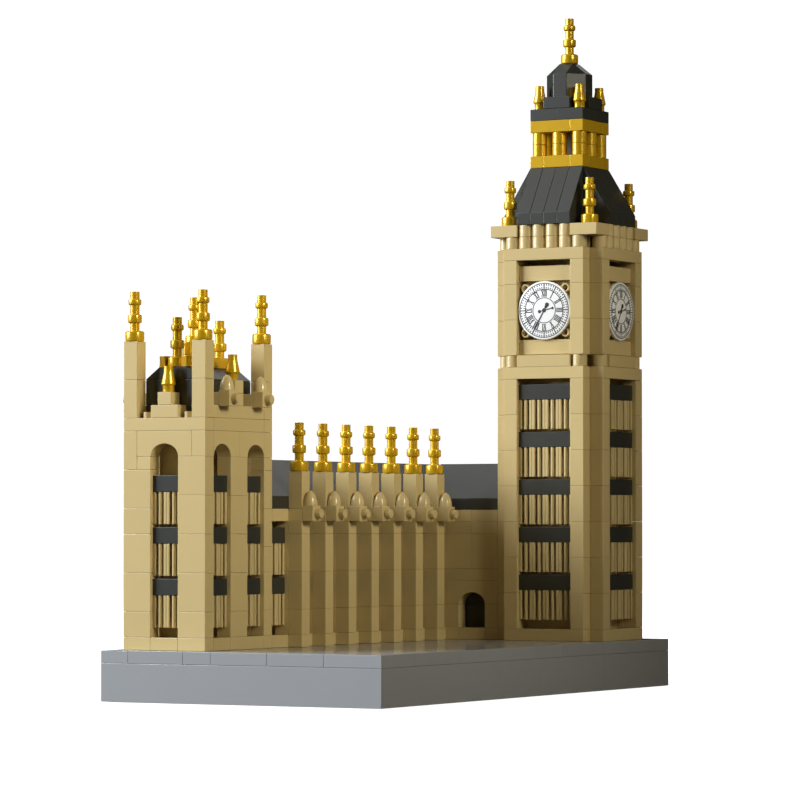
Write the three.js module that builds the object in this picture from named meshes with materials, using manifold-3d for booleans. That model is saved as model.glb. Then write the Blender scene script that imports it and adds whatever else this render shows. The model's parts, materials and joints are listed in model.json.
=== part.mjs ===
// A desk-size model of a riverside palace wing and its clock tower, put together from small
// click-together blocks: a pavilion, a long buttressed wing, a door bay and a square tower.
import * as THREE from 'three';
import { mergeVertices } from 'three/addons/utils/BufferGeometryUtils.js';
import Module from 'manifold-3d';

const wasm = await Module();
wasm.setup();

// Driving dimensions, in millimetres.
const pitch = 4.0; // width of a one-stud block, and the spacing of the studs
const course = 3.2; // height of one course of blocks
const fit = 0.06; // gap left between two blocks that touch
const runningFit = 0.06; // radial gap round a stud or peg that a piece turns on
const studDiameter = 2.4;
const studHeight = 1.55;
const windowRecess = 1.1; // from the wall face back to the window's bands
const barRecess = 1.3; // from the wall face back to the window's bars
const barWidth = 1.8; // an upright bar, one at every stud line inside a window
const barDepth = 0.8;
const bandDepth = 1.2;
const dialThickness = 1.0;
const dialHubDiameter = 6.0;
const panelRecess = 1.0; // from the tower face back to the panels over and under a dial
const ringStudHeight = 1.3;
const finialHeight = 12.4;
const finialBase = 4.7;
const finialBaseHeight = 2.4;
const finialBar = 2.35;
const lowerCollar = 3.5;
const upperCollar = 3.25;
const bottleHeight = 6.4;
const bottleFoot = 2.9;
const bottleRing = 3.6;
const bottleNeck = 2.35;
const pegDiameter = 1.5;
const pegLength = 1.3;
const domeRadius = 1.75;
const domeHeight = 3.9;
const sideBlockDepth = 3.2; // how far a side-mounted block stands out from its wall

// Counts and places on the block grid: studs along X and Y, courses up Z.
const baseStudsX = 20;
const baseStudsY = 40;
const deckTop = 4;
const plinthTop = 5;
const pavilion = { x: 4, y: 5, halfX: 3, halfY: 4, wallTop: 21, parapet: 22, pillarTop: 28 };
const pavilionRoof = { eave: 25, top: 26 };
const pavilionArch = { spring: 19, crown: 20 };
const wing = { x: 4, halfX: 3, south: 9, north: 38, beam: 14, eave: 15, slope: 16, ridge: 19 };
const doorBay = { west: 7, east: 11, south: 32, north: 38, spring: 7, crown: 8, left: 8, right: 10 };
const buttress = { west: 7, east: 8, first: 11, step: 3, count: 7, top: 18 };
const tower = { x: 15, y: 35, half: 4, notch: 1, bay: 2, beam: 26, neck: 27, stage: 28, lintel: 36 };
const towerTop = { stage: 37, frieze: 38, roof: 39, slope: 40, lantern: 44, arcade: 45, lintel: 47 };
const spire = { cornice: 48, step: 49, cap: 50, capSlope: 52, top: 53, half: 1.5, flat: 0.5 };
const lanternHalf = 2;

// Heights in the windows, in courses: bars, then a dark band, then a thin shadow gap.
const windowUnit = 4;
const barsStart = 0.75;
const barsHeight = 2.5;
const bandHeight = 1.25;

const roundSides = 8;
const dialSides = 24;
const archSides = 8;

const tan = { color: 0xcbb888, roughness: 0.42, metalness: 0.0 };
const slate = { color: 0x4c4d4a, roughness: 0.35, metalness: 0.0 };
const gold = { color: 0xc08a1e, roughness: 0.28, metalness: 0.55 };
const stone = { color: 0x8f959a, roughness: 0.3, metalness: 0.0 };
const white = { color: 0xf2f1ec, roughness: 0.3, metalness: 0.0 };

const corners = [[-1, -1], [1, -1], [1, 1], [-1, 1]];

const gx = (n) => (n - baseStudsX / 2) * pitch;
const gy = (n) => (n - baseStudsY / 2) * pitch;
const gp = (n) => n * pitch;
const gz = (n) => n * course;

// A box from three ranges.
function box(x, y, z) {
  const geometry = new THREE.BoxGeometry(x[1] - x[0], y[1] - y[0], z[1] - z[0]);
  geometry.translate((x[0] + x[1]) / 2, (y[0] + y[1]) / 2, (z[0] + z[1]) / 2);
  return geometry;
}

// A round post that stands on height z.
function post(diameter, height, x, y, z, sides = roundSides) {
  const geometry = new THREE.CylinderGeometry(diameter / 2, diameter / 2, height, sides);
  geometry.rotateX(Math.PI / 2);
  geometry.translate(x, y, z + height / 2);
  return geometry;
}

// A round turned shape from its profile of [radius, height] points, upright on the Z axis.
function turned(profile, sides = roundSides) {
  const points = profile.map(([radius, height]) => new THREE.Vector2(radius, height));
  const geometry = new THREE.LatheGeometry(points, sides);
  geometry.rotateX(Math.PI / 2);
  return geometry;
}

// An outline in X and Z, drawn out along Y.
function alongY(shape, y) {
  const geometry = new THREE.ExtrudeGeometry(shape, {
    depth: y[1] - y[0],
    bevelEnabled: false,
    curveSegments: archSides,
  });
  geometry.rotateX(Math.PI / 2);
  geometry.translate(0, y[1], 0);
  return geometry;
}

function outline(points) {
  return new THREE.Shape(points.map(([x, y]) => new THREE.Vector2(x, y)));
}

// A closed solid from a geometry, or from several that are joined.
function solid(...geometries) {
  const solids = geometries.map((geometry) => {
    const bare = geometry.clone();
    bare.deleteAttribute('normal');
    bare.deleteAttribute('uv');
    const merged = mergeVertices(bare, 1e-5);
    const mesh = new wasm.Mesh({
      numProp: 3,
      vertProperties: new Float32Array(merged.attributes.position.array),
      triVerts: new Uint32Array(merged.index.array),
    });
    return new wasm.Manifold(mesh);
  });
  return solids.reduce((whole, piece) => whole.add(piece));
}

function quarterTurns(geometry) {
  return [0, 1, 2, 3].map((turn) => geometry.clone().rotateZ((turn * Math.PI) / 2));
}

function halfTurned(geometry) {
  return geometry.clone().rotateZ(Math.PI);
}

function geometryOf(manifold) {
  const { vertProperties, triVerts } = manifold.getMesh();
  const geometry = new THREE.BufferGeometry();
  geometry.setAttribute('position', new THREE.BufferAttribute(new Float32Array(vertProperties), 3));
  geometry.setIndex(new THREE.BufferAttribute(new Uint32Array(triVerts), 1));
  geometry.computeVertexNormals();
  return geometry;
}

function piece(name, shape, finish) {
  const mesh = new THREE.Mesh(geometryOf(shape), new THREE.MeshStandardMaterial(finish));
  mesh.name = name;
  return mesh;
}

// ---------------------------------------------------------------- small turning pieces

// The polygon of a hole stays clear of the round post in it at every angle.
function holeDiameter(postDiameter) {
  return (postDiameter + 2 * runningFit) / Math.cos(Math.PI / roundSides);
}

function stud(x, y, z) {
  return post(studDiameter, studHeight, x, y, z);
}

function finialShape() {
  const socket = holeDiameter(studDiameter) / 2;
  const socketTop = studHeight + runningFit;
  const bar = finialBar / 2;
  const lower = finialHeight * 0.365;
  const upper = finialHeight * 0.715;
  return solid(turned([
    [0, socketTop],
    [socket, socketTop],
    [socket, 0],
    [finialBase / 2, 0],
    [finialBase / 2, finialBaseHeight],
    [bar, finialBaseHeight],
    [bar, lower],
    [lowerCollar / 2, lower + finialHeight * 0.025],
    [lowerCollar / 2, lower + finialHeight * 0.145],
    [bar, lower + finialHeight * 0.17],
    [bar, upper],
    [upperCollar / 2, upper + finialHeight * 0.025],
    [upperCollar / 2, upper + finialHeight * 0.085],
    [bar, upper + finialHeight * 0.11],
    [bar, finialHeight],
    [0, finialHeight],
  ]));
}

function bottleShape() {
  const peg = pegDiameter / 2;
  return solid(turned([
    [0, -pegLength],
    [peg, -pegLength],
    [peg, 0],
    [bottleFoot / 2, 0],
    [bottleFoot / 2, bottleHeight * 0.23],
    [bottleRing / 2, bottleHeight * 0.25],
    [bottleRing / 2, bottleHeight * 0.31],
    [bottleNeck / 2, bottleHeight * 0.72],
    [bottleNeck / 2, bottleHeight],
    [0, bottleHeight],
  ]));
}

// The hole in a block that a bottle's peg turns in.
function pegHole(x, y, z) {
  const depth = pegLength + 2 * runningFit;
  return post(holeDiameter(pegDiameter), depth + course, x, y, z - depth);
}

function finialAt(name, x, y, z) {
  const mesh = piece(name, finialShape(), gold);
  mesh.position.set(x, y, z + fit);
  return mesh;
}

function bottleAt(name, x, y, z) {
  const mesh = piece(name, bottleShape(), gold);
  mesh.position.set(x, y, z + fit);
  return mesh;
}

// A block hung sideways on a wall that faces +X, with its own stud and a small dome over it.
function sideOrnament(wall, y, z) {
  const bottom = z - 0.1 * course;
  const top = bottom + pitch;
  const half = pitch / 2;
  const studEnd = new THREE.CylinderGeometry(studDiameter / 2, studDiameter / 2, studHeight, roundSides);
  studEnd.rotateZ(Math.PI / 2);
  studEnd.translate(wall + sideBlockDepth + studHeight / 2, y, bottom + half);
  const dome = turned([
    [0, 0],
    [domeRadius, 0],
    [domeRadius, domeHeight * 0.35],
    [domeRadius * 0.86, domeHeight * 0.66],
    [domeRadius * 0.5, domeHeight * 0.92],
    [0, domeHeight],
  ]);
  dome.translate(wall + domeRadius * 0.75, y, top - fit);
  const block = box([wall - fit, wall + sideBlockDepth], [y - half, y + half], [bottom, top]);
  return [block, studEnd, dome];
}

// ---------------------------------------------------------------- windows

// The courses that each band of a window covers, counted from the window's sill.
function bandRanges(bands) {
  return Array.from({ length: bands }, (_, i) => {
    const start = barsStart + barsHeight + i * windowUnit;
    return [start, start + bandHeight];
  });
}

// Window bars on the -Y side of a liner: a back panel with upright bars on its face.
function windowBars(x0, studs, face, back, sill, bands) {
  const left = x0 + fit;
  const right = x0 + studs * pitch - fit;
  const z = [gz(sill + barsStart), gz(sill + barsStart + bands * windowUnit) - gz(0.5)];
  const front = face + barRecess;
  const shapes = [box([left, right], [front + barDepth, back], z)];
  for (let i = 1; i < studs; i += 1) {
    const middle = x0 + i * pitch;
    const bar = [middle - barWidth / 2, middle + barWidth / 2];
    shapes.push(box(bar, [front, front + barDepth + fit], z));
  }
  return shapes;
}

// A dark band's plate and the tongue behind it, which reaches back to the core.
function windowBands(x0, studs, face, back, sill, bands, gap, tongueStuds = studs) {
  const middle = x0 + (studs * pitch) / 2;
  const half = (studs * pitch) / 2 - fit + gap;
  const tongue = Math.min(half, (tongueStuds * pitch) / 2 + gap);
  const shapes = [];
  for (const [low, high] of bandRanges(bands)) {
    const z = [gz(sill + low) - gap, gz(sill + high) + gap];
    const front = face + windowRecess - gap;
    if (tongue === half) {
      shapes.push(box([middle - half, middle + half], [front, back], z));
    } else {
      shapes.push(box([middle - half, middle + half], [front, face + windowRecess + bandDepth + gap], z));
      shapes.push(box([middle - tongue, middle + tongue], [front + fit, back], z));
    }
  }
  return shapes;
}

// ---------------------------------------------------------------- base

function baseGroup() {
  const group = new THREE.Group();
  const x = [gx(0), gx(baseStudsX)];
  const y = [gy(0), gy(baseStudsY)];
  group.add(piece('base_course', solid(box(x, y, [0, gz(deckTop - 1)])), stone));
  group.add(piece('base_deck', solid(box(x, y, [gz(deckTop - 1) + fit, gz(deckTop)])), stone));
  return group;
}

// ---------------------------------------------------------------- pavilion

const pavilionX = [-gp(pavilion.halfX), gp(pavilion.halfX)];
const pavilionY = [-gp(pavilion.halfY), gp(pavilion.halfY)];
const pavilionInnerX = [pavilionX[0] + pitch, pavilionX[1] - pitch];
const pavilionInnerY = [pavilionY[0] + pitch, pavilionY[1] - pitch];
const sideWindowCentre = gp(2);

// An arched opening two studs wide through a wall that faces -Y.
function archOpening(x, y, z) {
  const half = (x[1] - x[0]) / 2;
  const shape = new THREE.Shape();
  shape.moveTo(x[0], z[0]);
  shape.lineTo(x[1], z[0]);
  shape.lineTo(x[1], z[1]);
  shape.absellipse(x[0] + half, z[1], half, z[2] - z[1], 0, Math.PI, false);
  shape.lineTo(x[0], z[0]);
  return alongY(shape, y);
}

function pavilionOpenings() {
  const heights = [gz(plinthTop), gz(pavilionArch.spring), gz(pavilionArch.crown)];
  const front = archOpening([-pitch, pitch], [pavilionY[0] - pitch, pavilionInnerY[0] + fit], heights);
  const wall = [pavilionX[0] - pitch, pavilionInnerX[0] + fit];
  const sides = [-1, 1].flatMap((side) => {
    const x = [side * sideWindowCentre - pitch, side * sideWindowCentre + pitch];
    const opening = archOpening(x, wall, heights);
    return [opening.clone().rotateZ(Math.PI / 2), opening.clone().rotateZ(-Math.PI / 2)];
  });
  return [front, ...sides];
}

function pavilionWalls() {
  const z = [gz(deckTop) + fit, gz(pavilion.wallTop)];
  const inner = box(pavilionInnerX, pavilionInnerY, [z[0] - fit, z[1] + fit]);
  return solid(box(pavilionX, pavilionY, z)).subtract(solid(inner, ...pavilionOpenings()));
}

// The same window on the front and, turned, on both sides: [offset along the wall, wall face, turn].
function pavilionWindows() {
  const sides = [-1, 1].flatMap((side) => [
    [side * sideWindowCentre, pavilionX[0], Math.PI / 2],
    [side * sideWindowCentre, pavilionX[0], -Math.PI / 2],
  ]);
  return [[0, pavilionY[0], 0], ...sides];
}

const pavilionBands = 3;
const pavilionCore = { x: [-gp(1.4), gp(1.4)], y: [-gp(2.4), gp(2.4)] };

function pavilionWindowBars() {
  const top = gz(plinthTop + barsStart + pavilionBands * windowUnit) - gz(0.5);
  const x = [pavilionInnerX[0] + fit, pavilionInnerX[1] - fit];
  const y = [pavilionInnerY[0] + fit, pavilionInnerY[1] - fit];
  const liner = [box(x, y, [gz(deckTop) + fit, top])];
  const slots = [];
  for (const [offset, face, turn] of pavilionWindows()) {
    const inward = face + pitch + 2 * fit;
    const bars = windowBars(offset - pitch, 2, face, inward, plinthTop, pavilionBands);
    const bands = windowBands(offset - pitch, 2, face, 0, plinthTop, pavilionBands, fit);
    liner.push(...bars.map((shape) => shape.rotateZ(turn)));
    slots.push(...bands.map((shape) => shape.rotateZ(turn)));
  }
  const coreX = [pavilionCore.x[0] - fit, pavilionCore.x[1] + fit];
  const coreY = [pavilionCore.y[0] - fit, pavilionCore.y[1] + fit];
  const core = box(coreX, coreY, [0, top + course]);
  return solid(...liner).subtract(solid(core, ...slots));
}

function pavilionWindowBands() {
  const core = box(pavilionCore.x, pavilionCore.y, [gz(deckTop) + fit, gz(pavilion.parapet) - fit]);
  const shapes = pavilionWindows().flatMap(([offset, face, turn]) => {
    const bands = windowBands(offset - pitch, 2, face, -gp(0.5), plinthTop, pavilionBands, 0);
    return bands.map((shape) => shape.rotateZ(turn));
  });
  return solid(core, ...shapes);
}

function pavilionParapet() {
  const z = [gz(pavilion.wallTop) + fit, gz(pavilion.parapet)];
  const ring = solid(box(pavilionX, pavilionY, z)).subtract(solid(
    box(pavilionInnerX, pavilionInnerY, [z[0] - fit, z[1] + fit]),
  ));
  const shapes = [];
  for (const side of [-1, 1]) {
    const wallX = side > 0 ? [pavilionInnerX[1], pavilionX[1]] : [pavilionX[0], pavilionInnerX[0]];
    const wallY = side > 0 ? [pavilionInnerY[1], pavilionY[1]] : [pavilionY[0], pavilionInnerY[0]];
    const low = z[1] - fit;
    shapes.push(box([-pitch, pitch], wallY, [low, gz(pavilion.parapet + 1)]));
    shapes.push(box([-pitch / 2, pitch / 2], wallY, [low, gz(pavilion.parapet + 2)]));
    shapes.push(box(wallX, pavilionY, [low, gz(pavilion.parapet + 1)]));
    shapes.push(box(wallX, [-pitch / 2, pitch / 2], [low, gz(pavilion.parapet + 3)]));
    for (const end of [-1, 1]) {
      const middle = end * sideWindowCentre;
      const height = gz(pavilion.parapet + 1);
      shapes.push(box(wallX, [middle - pitch / 2, middle + pitch / 2], [low, height + course]));
      const ornament = sideOrnament(pavilionX[1], side * middle, height);
      shapes.push(...ornament.map((shape) => (side > 0 ? shape : halfTurned(shape))));
      const cornerY = end > 0 ? [pavilionInnerY[1], pavilionY[1]] : [pavilionY[0], pavilionInnerY[0]];
      shapes.push(box(wallX, cornerY, [low, gz(pavilion.pillarTop)]));
      shapes.push(stud(side * gp(2.5), end * gp(3.5), gz(pavilion.pillarTop)));
      shapes.push(stud(side * gp(1.5), end * gp(3.5), gz(pavilion.parapet)));
    }
  }
  const holes = bottlePlaces().map(([x, y, height]) => pegHole(x, y, height));
  return ring.add(solid(...shapes)).subtract(solid(...holes));
}

function bottlePlaces() {
  return [
    [0, -gp(3.5), gz(pavilion.parapet + 2)],
    [gp(2.5), 0, gz(pavilion.parapet + 3)],
    [-gp(2.5), 0, gz(pavilion.parapet + 3)],
  ];
}

function pavilionRoofShape() {
  const half = pavilionInnerX[1] - fit;
  const flat = half - pitch;
  const profile = outline([
    [-half, gz(pavilion.parapet) + fit],
    [half, gz(pavilion.parapet) + fit],
    [half, gz(pavilionRoof.eave)],
    [flat, gz(pavilionRoof.top)],
    [-flat, gz(pavilionRoof.top)],
    [-half, gz(pavilionRoof.eave)],
  ]);
  const ends = [-1, 1].map((end) => stud(0, end * gp(2.5), gz(pavilionRoof.top) - fit));
  return solid(alongY(profile, [pavilionInnerY[0] + fit, pavilionInnerY[1] - fit]), ...ends);
}

function crestShape() {
  const z = [gz(pavilionRoof.top) + fit, gz(pavilionRoof.top + 1)];
  const posts = [-1.4, -0.47, 0.47, 1.4].map((place) => post(studDiameter, course, 0, gp(place), z[1] - fit));
  return solid(box([-pitch / 2, pitch / 2], [-gp(1.9), gp(1.9)], z), ...posts);
}

function pavilionGroup() {
  const group = new THREE.Group();
  group.position.set(gx(pavilion.x), gy(pavilion.y), 0);
  group.add(piece('pavilion_walls', pavilionWalls(), tan));
  group.add(piece('pavilion_window_bars', pavilionWindowBars(), tan));
  group.add(piece('pavilion_window_bands', pavilionWindowBands(), slate));
  group.add(piece('pavilion_parapet', pavilionParapet(), tan));
  group.add(piece('pavilion_roof', pavilionRoofShape(), slate));
  group.add(piece('pavilion_crest', crestShape(), gold));
  bottlePlaces().forEach(([x, y, z], i) => group.add(bottleAt(`parapet_bottle_${i + 1}`, x, y, z)));
  corners.forEach(([x, y], i) => {
    const name = `pillar_finial_${i + 1}`;
    group.add(finialAt(name, x * gp(2.5), y * gp(3.5), gz(pavilion.pillarTop)));
  });
  [-1, 1].forEach((end, i) => {
    group.add(finialAt(`crest_finial_${i + 1}`, 0, end * gp(2.5), gz(pavilionRoof.top)));
  });
  return group;
}

// ---------------------------------------------------------------- wing and door bay

const wingWest = gx(wing.x - wing.halfX);
const wingEast = gx(wing.x + wing.halfX);
const wingSouth = gy(wing.south) + fit;
const wingNorth = gy(wing.north);
const wingWindowStuds = 2;
const wingBands = 2;

// The south edge of each window along the wing, in studs.
function wingWindowPlaces() {
  return Array.from({ length: buttress.count + 1 }, (_, i) => wing.south + i * buttress.step);
}

// A shape for a wall that faces -Y, turned and moved to the wing's east or west wall.
function onWingWall(shape, side) {
  return shape.rotateZ((side * Math.PI) / 2).translate(gx(wing.x), 0, 0);
}

// Where a window starts along the wall, measured the way that the turned wall runs.
function alongWall(place, side) {
  return side > 0 ? gy(place) : -gy(place) - wingWindowStuds * pitch;
}

function wingWalls() {
  const z = [gz(deckTop) + fit, gz(wing.eave)];
  const innerX = [wingWest + pitch, wingEast - pitch];
  const inner = box(innerX, [wingSouth - pitch, wingNorth - pitch], [0, z[1] + fit]);
  const openings = [-1, 1].flatMap((side) => wingWindowPlaces().map((place) => {
    const start = alongWall(place, side);
    const wall = [-gp(wing.halfX) - pitch, -gp(wing.halfX) + pitch + fit];
    const opening = box([start, start + wingWindowStuds * pitch], wall, [gz(plinthTop), gz(wing.beam)]);
    return onWingWall(opening, side);
  }));
  return solid(box([wingWest, wingEast], [wingSouth, wingNorth], z)).subtract(solid(inner, ...openings));
}

// The short bay between the wing and the tower, hollow and open to the tower's side.
function doorBayWalls() {
  const x = [gx(doorBay.west) + fit, gx(doorBay.east) - fit];
  const y = [gy(doorBay.south), gy(doorBay.north)];
  const z = [gz(deckTop) + fit, gz(wing.eave)];
  const room = box([x[0] + pitch, x[1] + fit], [y[0] + pitch, y[1] - pitch], [0, z[1] + fit]);
  const door = archOpening(
    [gx(doorBay.left), gx(doorBay.right)],
    [y[0] - pitch, y[0] + pitch + fit],
    [gz(plinthTop), gz(doorBay.spring), gz(doorBay.crown)],
  );
  return solid(box(x, y, z)).subtract(solid(room, door));
}

const wingCore = { half: 1.4, south: 9.5, north: 36.5 };

function wingWindowBars() {
  const top = gz(wing.beam) - fit;
  const x = [wingWest + pitch + fit, wingEast - pitch - fit];
  const liner = [box(x, [wingSouth, wingNorth - pitch - fit], [gz(deckTop) + fit, top])];
  const slots = [];
  for (const side of [-1, 1]) {
    for (const place of wingWindowPlaces()) {
      const start = alongWall(place, side);
      const face = -gp(wing.halfX);
      const back = face + pitch + 2 * fit;
      const bars = windowBars(start, wingWindowStuds, face, back, plinthTop, wingBands);
      const bands = windowBands(start, wingWindowStuds, face, 0, plinthTop, wingBands, fit);
      liner.push(...bars.map((shape) => onWingWall(shape, side)));
      slots.push(...bands.map((shape) => onWingWall(shape, side)));
    }
  }
  const coreX = [gx(wing.x - wingCore.half) - fit, gx(wing.x + wingCore.half) + fit];
  const core = box(coreX, [gy(wingCore.south) - fit, gy(wingCore.north) + fit], [0, top + course]);
  return solid(...liner).subtract(solid(core, ...slots));
}

function wingWindowBands() {
  const z = [gz(deckTop) + fit, gz(wing.eave) - fit];
  const coreX = [gx(wing.x - wingCore.half), gx(wing.x + wingCore.half)];
  const shapes = [box(coreX, [gy(wingCore.south), gy(wingCore.north)], z)];
  for (const side of [-1, 1]) {
    for (const place of wingWindowPlaces()) {
      const face = -gp(wing.halfX);
      const bands = windowBands(alongWall(place, side), wingWindowStuds, face, 0, plinthTop, wingBands, 0);
      shapes.push(...bands.map((shape) => onWingWall(shape, side)));
    }
  }
  return solid(...shapes);
}

function gable(middle, half) {
  return outline([
    [middle - half, gz(wing.eave) + fit],
    [middle + half, gz(wing.eave) + fit],
    [middle + half, gz(wing.slope)],
    [middle, gz(wing.ridge)],
    [middle - half, gz(wing.slope)],
  ]);
}

function wingRoof() {
  const half = gp(wing.halfX) - fit;
  const long = alongY(gable(gx(wing.x), half), [wingSouth, wingNorth]);
  const middle = (doorBay.south + doorBay.north) / 2;
  const short = alongY(gable(0, half), [0, gx(doorBay.east) - fit - gx(wing.x)]);
  short.rotateZ(-Math.PI / 2);
  short.translate(gx(wing.x), gy(middle), 0);
  return solid(long, short);
}

function buttressShape() {
  const z = [gz(deckTop) + fit, gz(buttress.top)];
  const x = [fit, pitch];
  const half = pitch / 2;
  const shaft = box(x, [-half, half], z);
  return solid(shaft, stud(half, 0, z[1] - fit), ...sideOrnament(pitch, 0, gz(wing.beam) + 0.1 * course));
}

function wingGroup() {
  const group = new THREE.Group();
  group.add(piece('wing_walls', wingWalls(), tan));
  group.add(piece('door_bay', doorBayWalls(), tan));
  group.add(piece('wing_window_bars', wingWindowBars(), tan));
  group.add(piece('wing_window_bands', wingWindowBands(), slate));
  group.add(piece('wing_roof', wingRoof(), slate));
  for (let i = 0; i < buttress.count; i += 1) {
    const row = new THREE.Group();
    row.position.set(gx(buttress.west), gy(buttress.first + i * buttress.step + 0.5), 0);
    row.add(piece(`buttress_${i + 1}`, buttressShape(), tan));
    row.add(finialAt(`buttress_finial_${i + 1}`, pitch / 2, 0, gz(buttress.top)));
    group.add(row);
  }
  return group;
}

// ---------------------------------------------------------------- clock tower

const towerHalf = gp(tower.half);
const towerInner = gp(tower.half - tower.notch);
const bayHalf = gp(tower.bay);
const towerBands = 5;

// The tower's plan is a square with a one-stud notch at each corner.
function notchedSlab(z) {
  return [
    box([-towerHalf, towerHalf], [-towerInner, towerInner], z),
    box([-towerInner, towerInner], [-towerHalf, towerHalf], z),
  ];
}

// Four corner piers under a ring, with a plus-shaped hollow between them.
function cornerPiers(z, ringFrom) {
  const hollow = [
    box([-towerHalf - fit, towerHalf + fit], [-bayHalf, bayHalf], [z[0] - fit, ringFrom]),
    box([-bayHalf, bayHalf], [-towerHalf - fit, towerHalf + fit], [z[0] - fit, ringFrom]),
  ];
  return solid(...notchedSlab(z)).subtract(solid(...hollow));
}

function plusShape(reach, z) {
  return [
    box([-reach, reach], [-bayHalf + fit, bayHalf - fit], z),
    box([-bayHalf + fit, bayHalf - fit], [-reach, reach], z),
  ];
}

const towerCoreHalf = gp(1.2);

function towerWindowBars() {
  const sill = plinthTop;
  const top = gz(sill + barsStart + towerBands * windowUnit) - gz(0.5);
  const reach = towerHalf - barRecess - barDepth;
  const shapes = plusShape(reach, [gz(sill) + fit, top]);
  const low = [gz(sill), gz(sill + barsStart)];
  const bars = windowBars(-bayHalf, 2 * tower.bay, -towerHalf, -reach + fit, sill, towerBands);
  const slots = windowBands(-bayHalf, 2 * tower.bay, -towerHalf, 0, sill, towerBands, fit, 1);
  const gap = box([-bayHalf, bayHalf], [-towerHalf, -reach + pitch / 2], low);
  const holeHalf = [-towerCoreHalf - fit, towerCoreHalf + fit];
  const hole = box(holeHalf, holeHalf, [0, top + course]);
  return solid(...shapes, ...bars.flatMap(quarterTurns))
    .subtract(solid(hole, ...slots.flatMap(quarterTurns), ...quarterTurns(gap)));
}

function towerWindowBands() {
  const coreHalf = [-towerCoreHalf, towerCoreHalf];
  const core = box(coreHalf, coreHalf, [gz(plinthTop) + fit, gz(tower.beam) - fit]);
  const bands = windowBands(-bayHalf, 2 * tower.bay, -towerHalf, 0, plinthTop, towerBands, 0, 1);
  return solid(core, ...bands.flatMap(quarterTurns));
}

// Round one-stud blocks along one side: [place along the side, place across it].
function roundRow(places, z) {
  return places.map(([x, y]) => post(pitch * 0.98, z[1] - z[0], gp(x), gp(y), z[0]));
}

function neckShapes() {
  const z = [gz(tower.neck) - fit, gz(tower.stage)];
  const across = tower.half - 0.5;
  const ends = tower.half - 1.5;
  const edge = towerInner - pitch / 4;
  return [
    box([-towerInner, towerInner], [-towerInner, towerInner], z),
    ...quarterTurns(box([-bayHalf, bayHalf], [-towerHalf, -towerInner + fit], z)),
    ...quarterTurns(box([-edge, edge], [-towerInner - pitch / 4, 0], z)),
    ...roundRow([[-ends, -across], [ends, -across]], z).flatMap(quarterTurns),
  ];
}

function towerShaft() {
  const piers = cornerPiers([gz(plinthTop) + fit, gz(tower.neck)], gz(tower.beam));
  return piers.add(solid(...neckShapes()));
}

function dialCentre() {
  const bayTop = gz(tower.lintel) - course / 2;
  return (gz(tower.stage) + bayTop) / 2;
}

function clockCore() {
  const z = [gz(tower.stage) + fit, gz(tower.lintel) - course / 2];
  const ringPlate = towerHalf - dialThickness - ringStudHeight - pitch * 0.12;
  const middle = dialCentre();
  const dialOpening = bayHalf;
  const panelFace = [-towerHalf + panelRecess, -ringPlate + fit];
  const width = [-bayHalf + fit, bayHalf - fit];
  const lowPanel = box(width, panelFace, [z[0], middle - dialOpening]);
  const highPanel = box(width, panelFace, [middle + dialOpening, z[1]]);
  const studs = [-1, 1].flatMap((side) => [-1, 1].map((end) => {
    const radius = studDiameter / 2;
    const ring = new THREE.CylinderGeometry(radius, radius, ringStudHeight + fit, roundSides);
    ring.translate(side * gp(1.5), -ringPlate - ringStudHeight / 2, middle + end * gp(1.5));
    return ring;
  }));
  const shapes = [...plusShape(ringPlate, z)];
  for (const shape of [lowPanel, highPanel, ...studs]) {
    shapes.push(...quarterTurns(shape));
  }
  return solid(...shapes);
}

function dialShape() {
  const radius = bayHalf - 0.16;
  const depth = dialThickness + ringStudHeight + pitch * 0.12 - fit;
  const hub = dialHubDiameter / 2;
  const profile = [
    [0, -depth],
    [hub, -depth],
    [hub, -dialThickness],
    [radius, -dialThickness],
    [radius, -0.15],
    [radius - 0.15, 0],
    [0, 0],
  ];
  const geometry = turned(profile, dialSides);
  geometry.rotateX(Math.PI / 2);
  return solid(geometry);
}

function friezeShape() {
  const z = [gz(towerTop.stage) + fit, gz(towerTop.roof)];
  const lowZ = [z[0], gz(towerTop.frieze) + fit];
  const across = tower.half - 0.5;
  const corner = tower.half - 1.5;
  const bayRounds = [-1.5, -0.5, 0.5, 1.5].map((x) => [x, -across]);
  const tileY = [-towerHalf, -towerHalf + 2 * pitch];
  const shapes = [
    box([-towerInner, towerInner], [-towerInner, towerInner], z),
    ...quarterTurns(box([-towerInner + pitch / 4, towerInner - pitch / 4], [-towerInner - pitch / 4, 0], z)),
    ...roundRow(bayRounds, z).flatMap(quarterTurns),
    ...roundRow([[-corner, -across], [corner, -across]], lowZ).flatMap(quarterTurns),
    ...quarterTurns(box([-towerHalf, -towerHalf + 2 * pitch], tileY, [gz(towerTop.frieze), z[1]])),
    ...quarterTurns(stud(-gp(tower.half - 1), -gp(tower.half - 1), z[1] - fit)),
  ];
  return solid(...shapes);
}

function towerRoof() {
  const foot = towerHalf;
  const top = gp(lanternHalf);
  const profile = outline([
    [-foot, gz(towerTop.roof) + fit],
    [foot, gz(towerTop.roof) + fit],
    [foot, gz(towerTop.slope)],
    [top, gz(towerTop.lantern)],
    [-top, gz(towerTop.lantern)],
    [-foot, gz(towerTop.slope)],
  ]);
  const arm = alongY(profile, [-bayHalf + fit, bayHalf - fit]);
  return solid(arm.clone(), arm.clone().rotateZ(Math.PI / 2));
}

function lanternShape() {
  const half = gp(lanternHalf);
  const reach = lanternHalf - 0.5;
  const columnZ = [gz(towerTop.arcade) - fit, gz(towerTop.lintel) + fit];
  const columns = roundRow([[-reach, -reach], [0, -reach]], columnZ);
  return solid(
    box([-half, half], [-half, half], [gz(towerTop.lantern) + fit, gz(towerTop.arcade)]),
    box([-half, half], [-half, half], [gz(towerTop.lintel), gz(spire.cornice)]),
    ...columns.flatMap(quarterTurns),
  );
}

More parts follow.
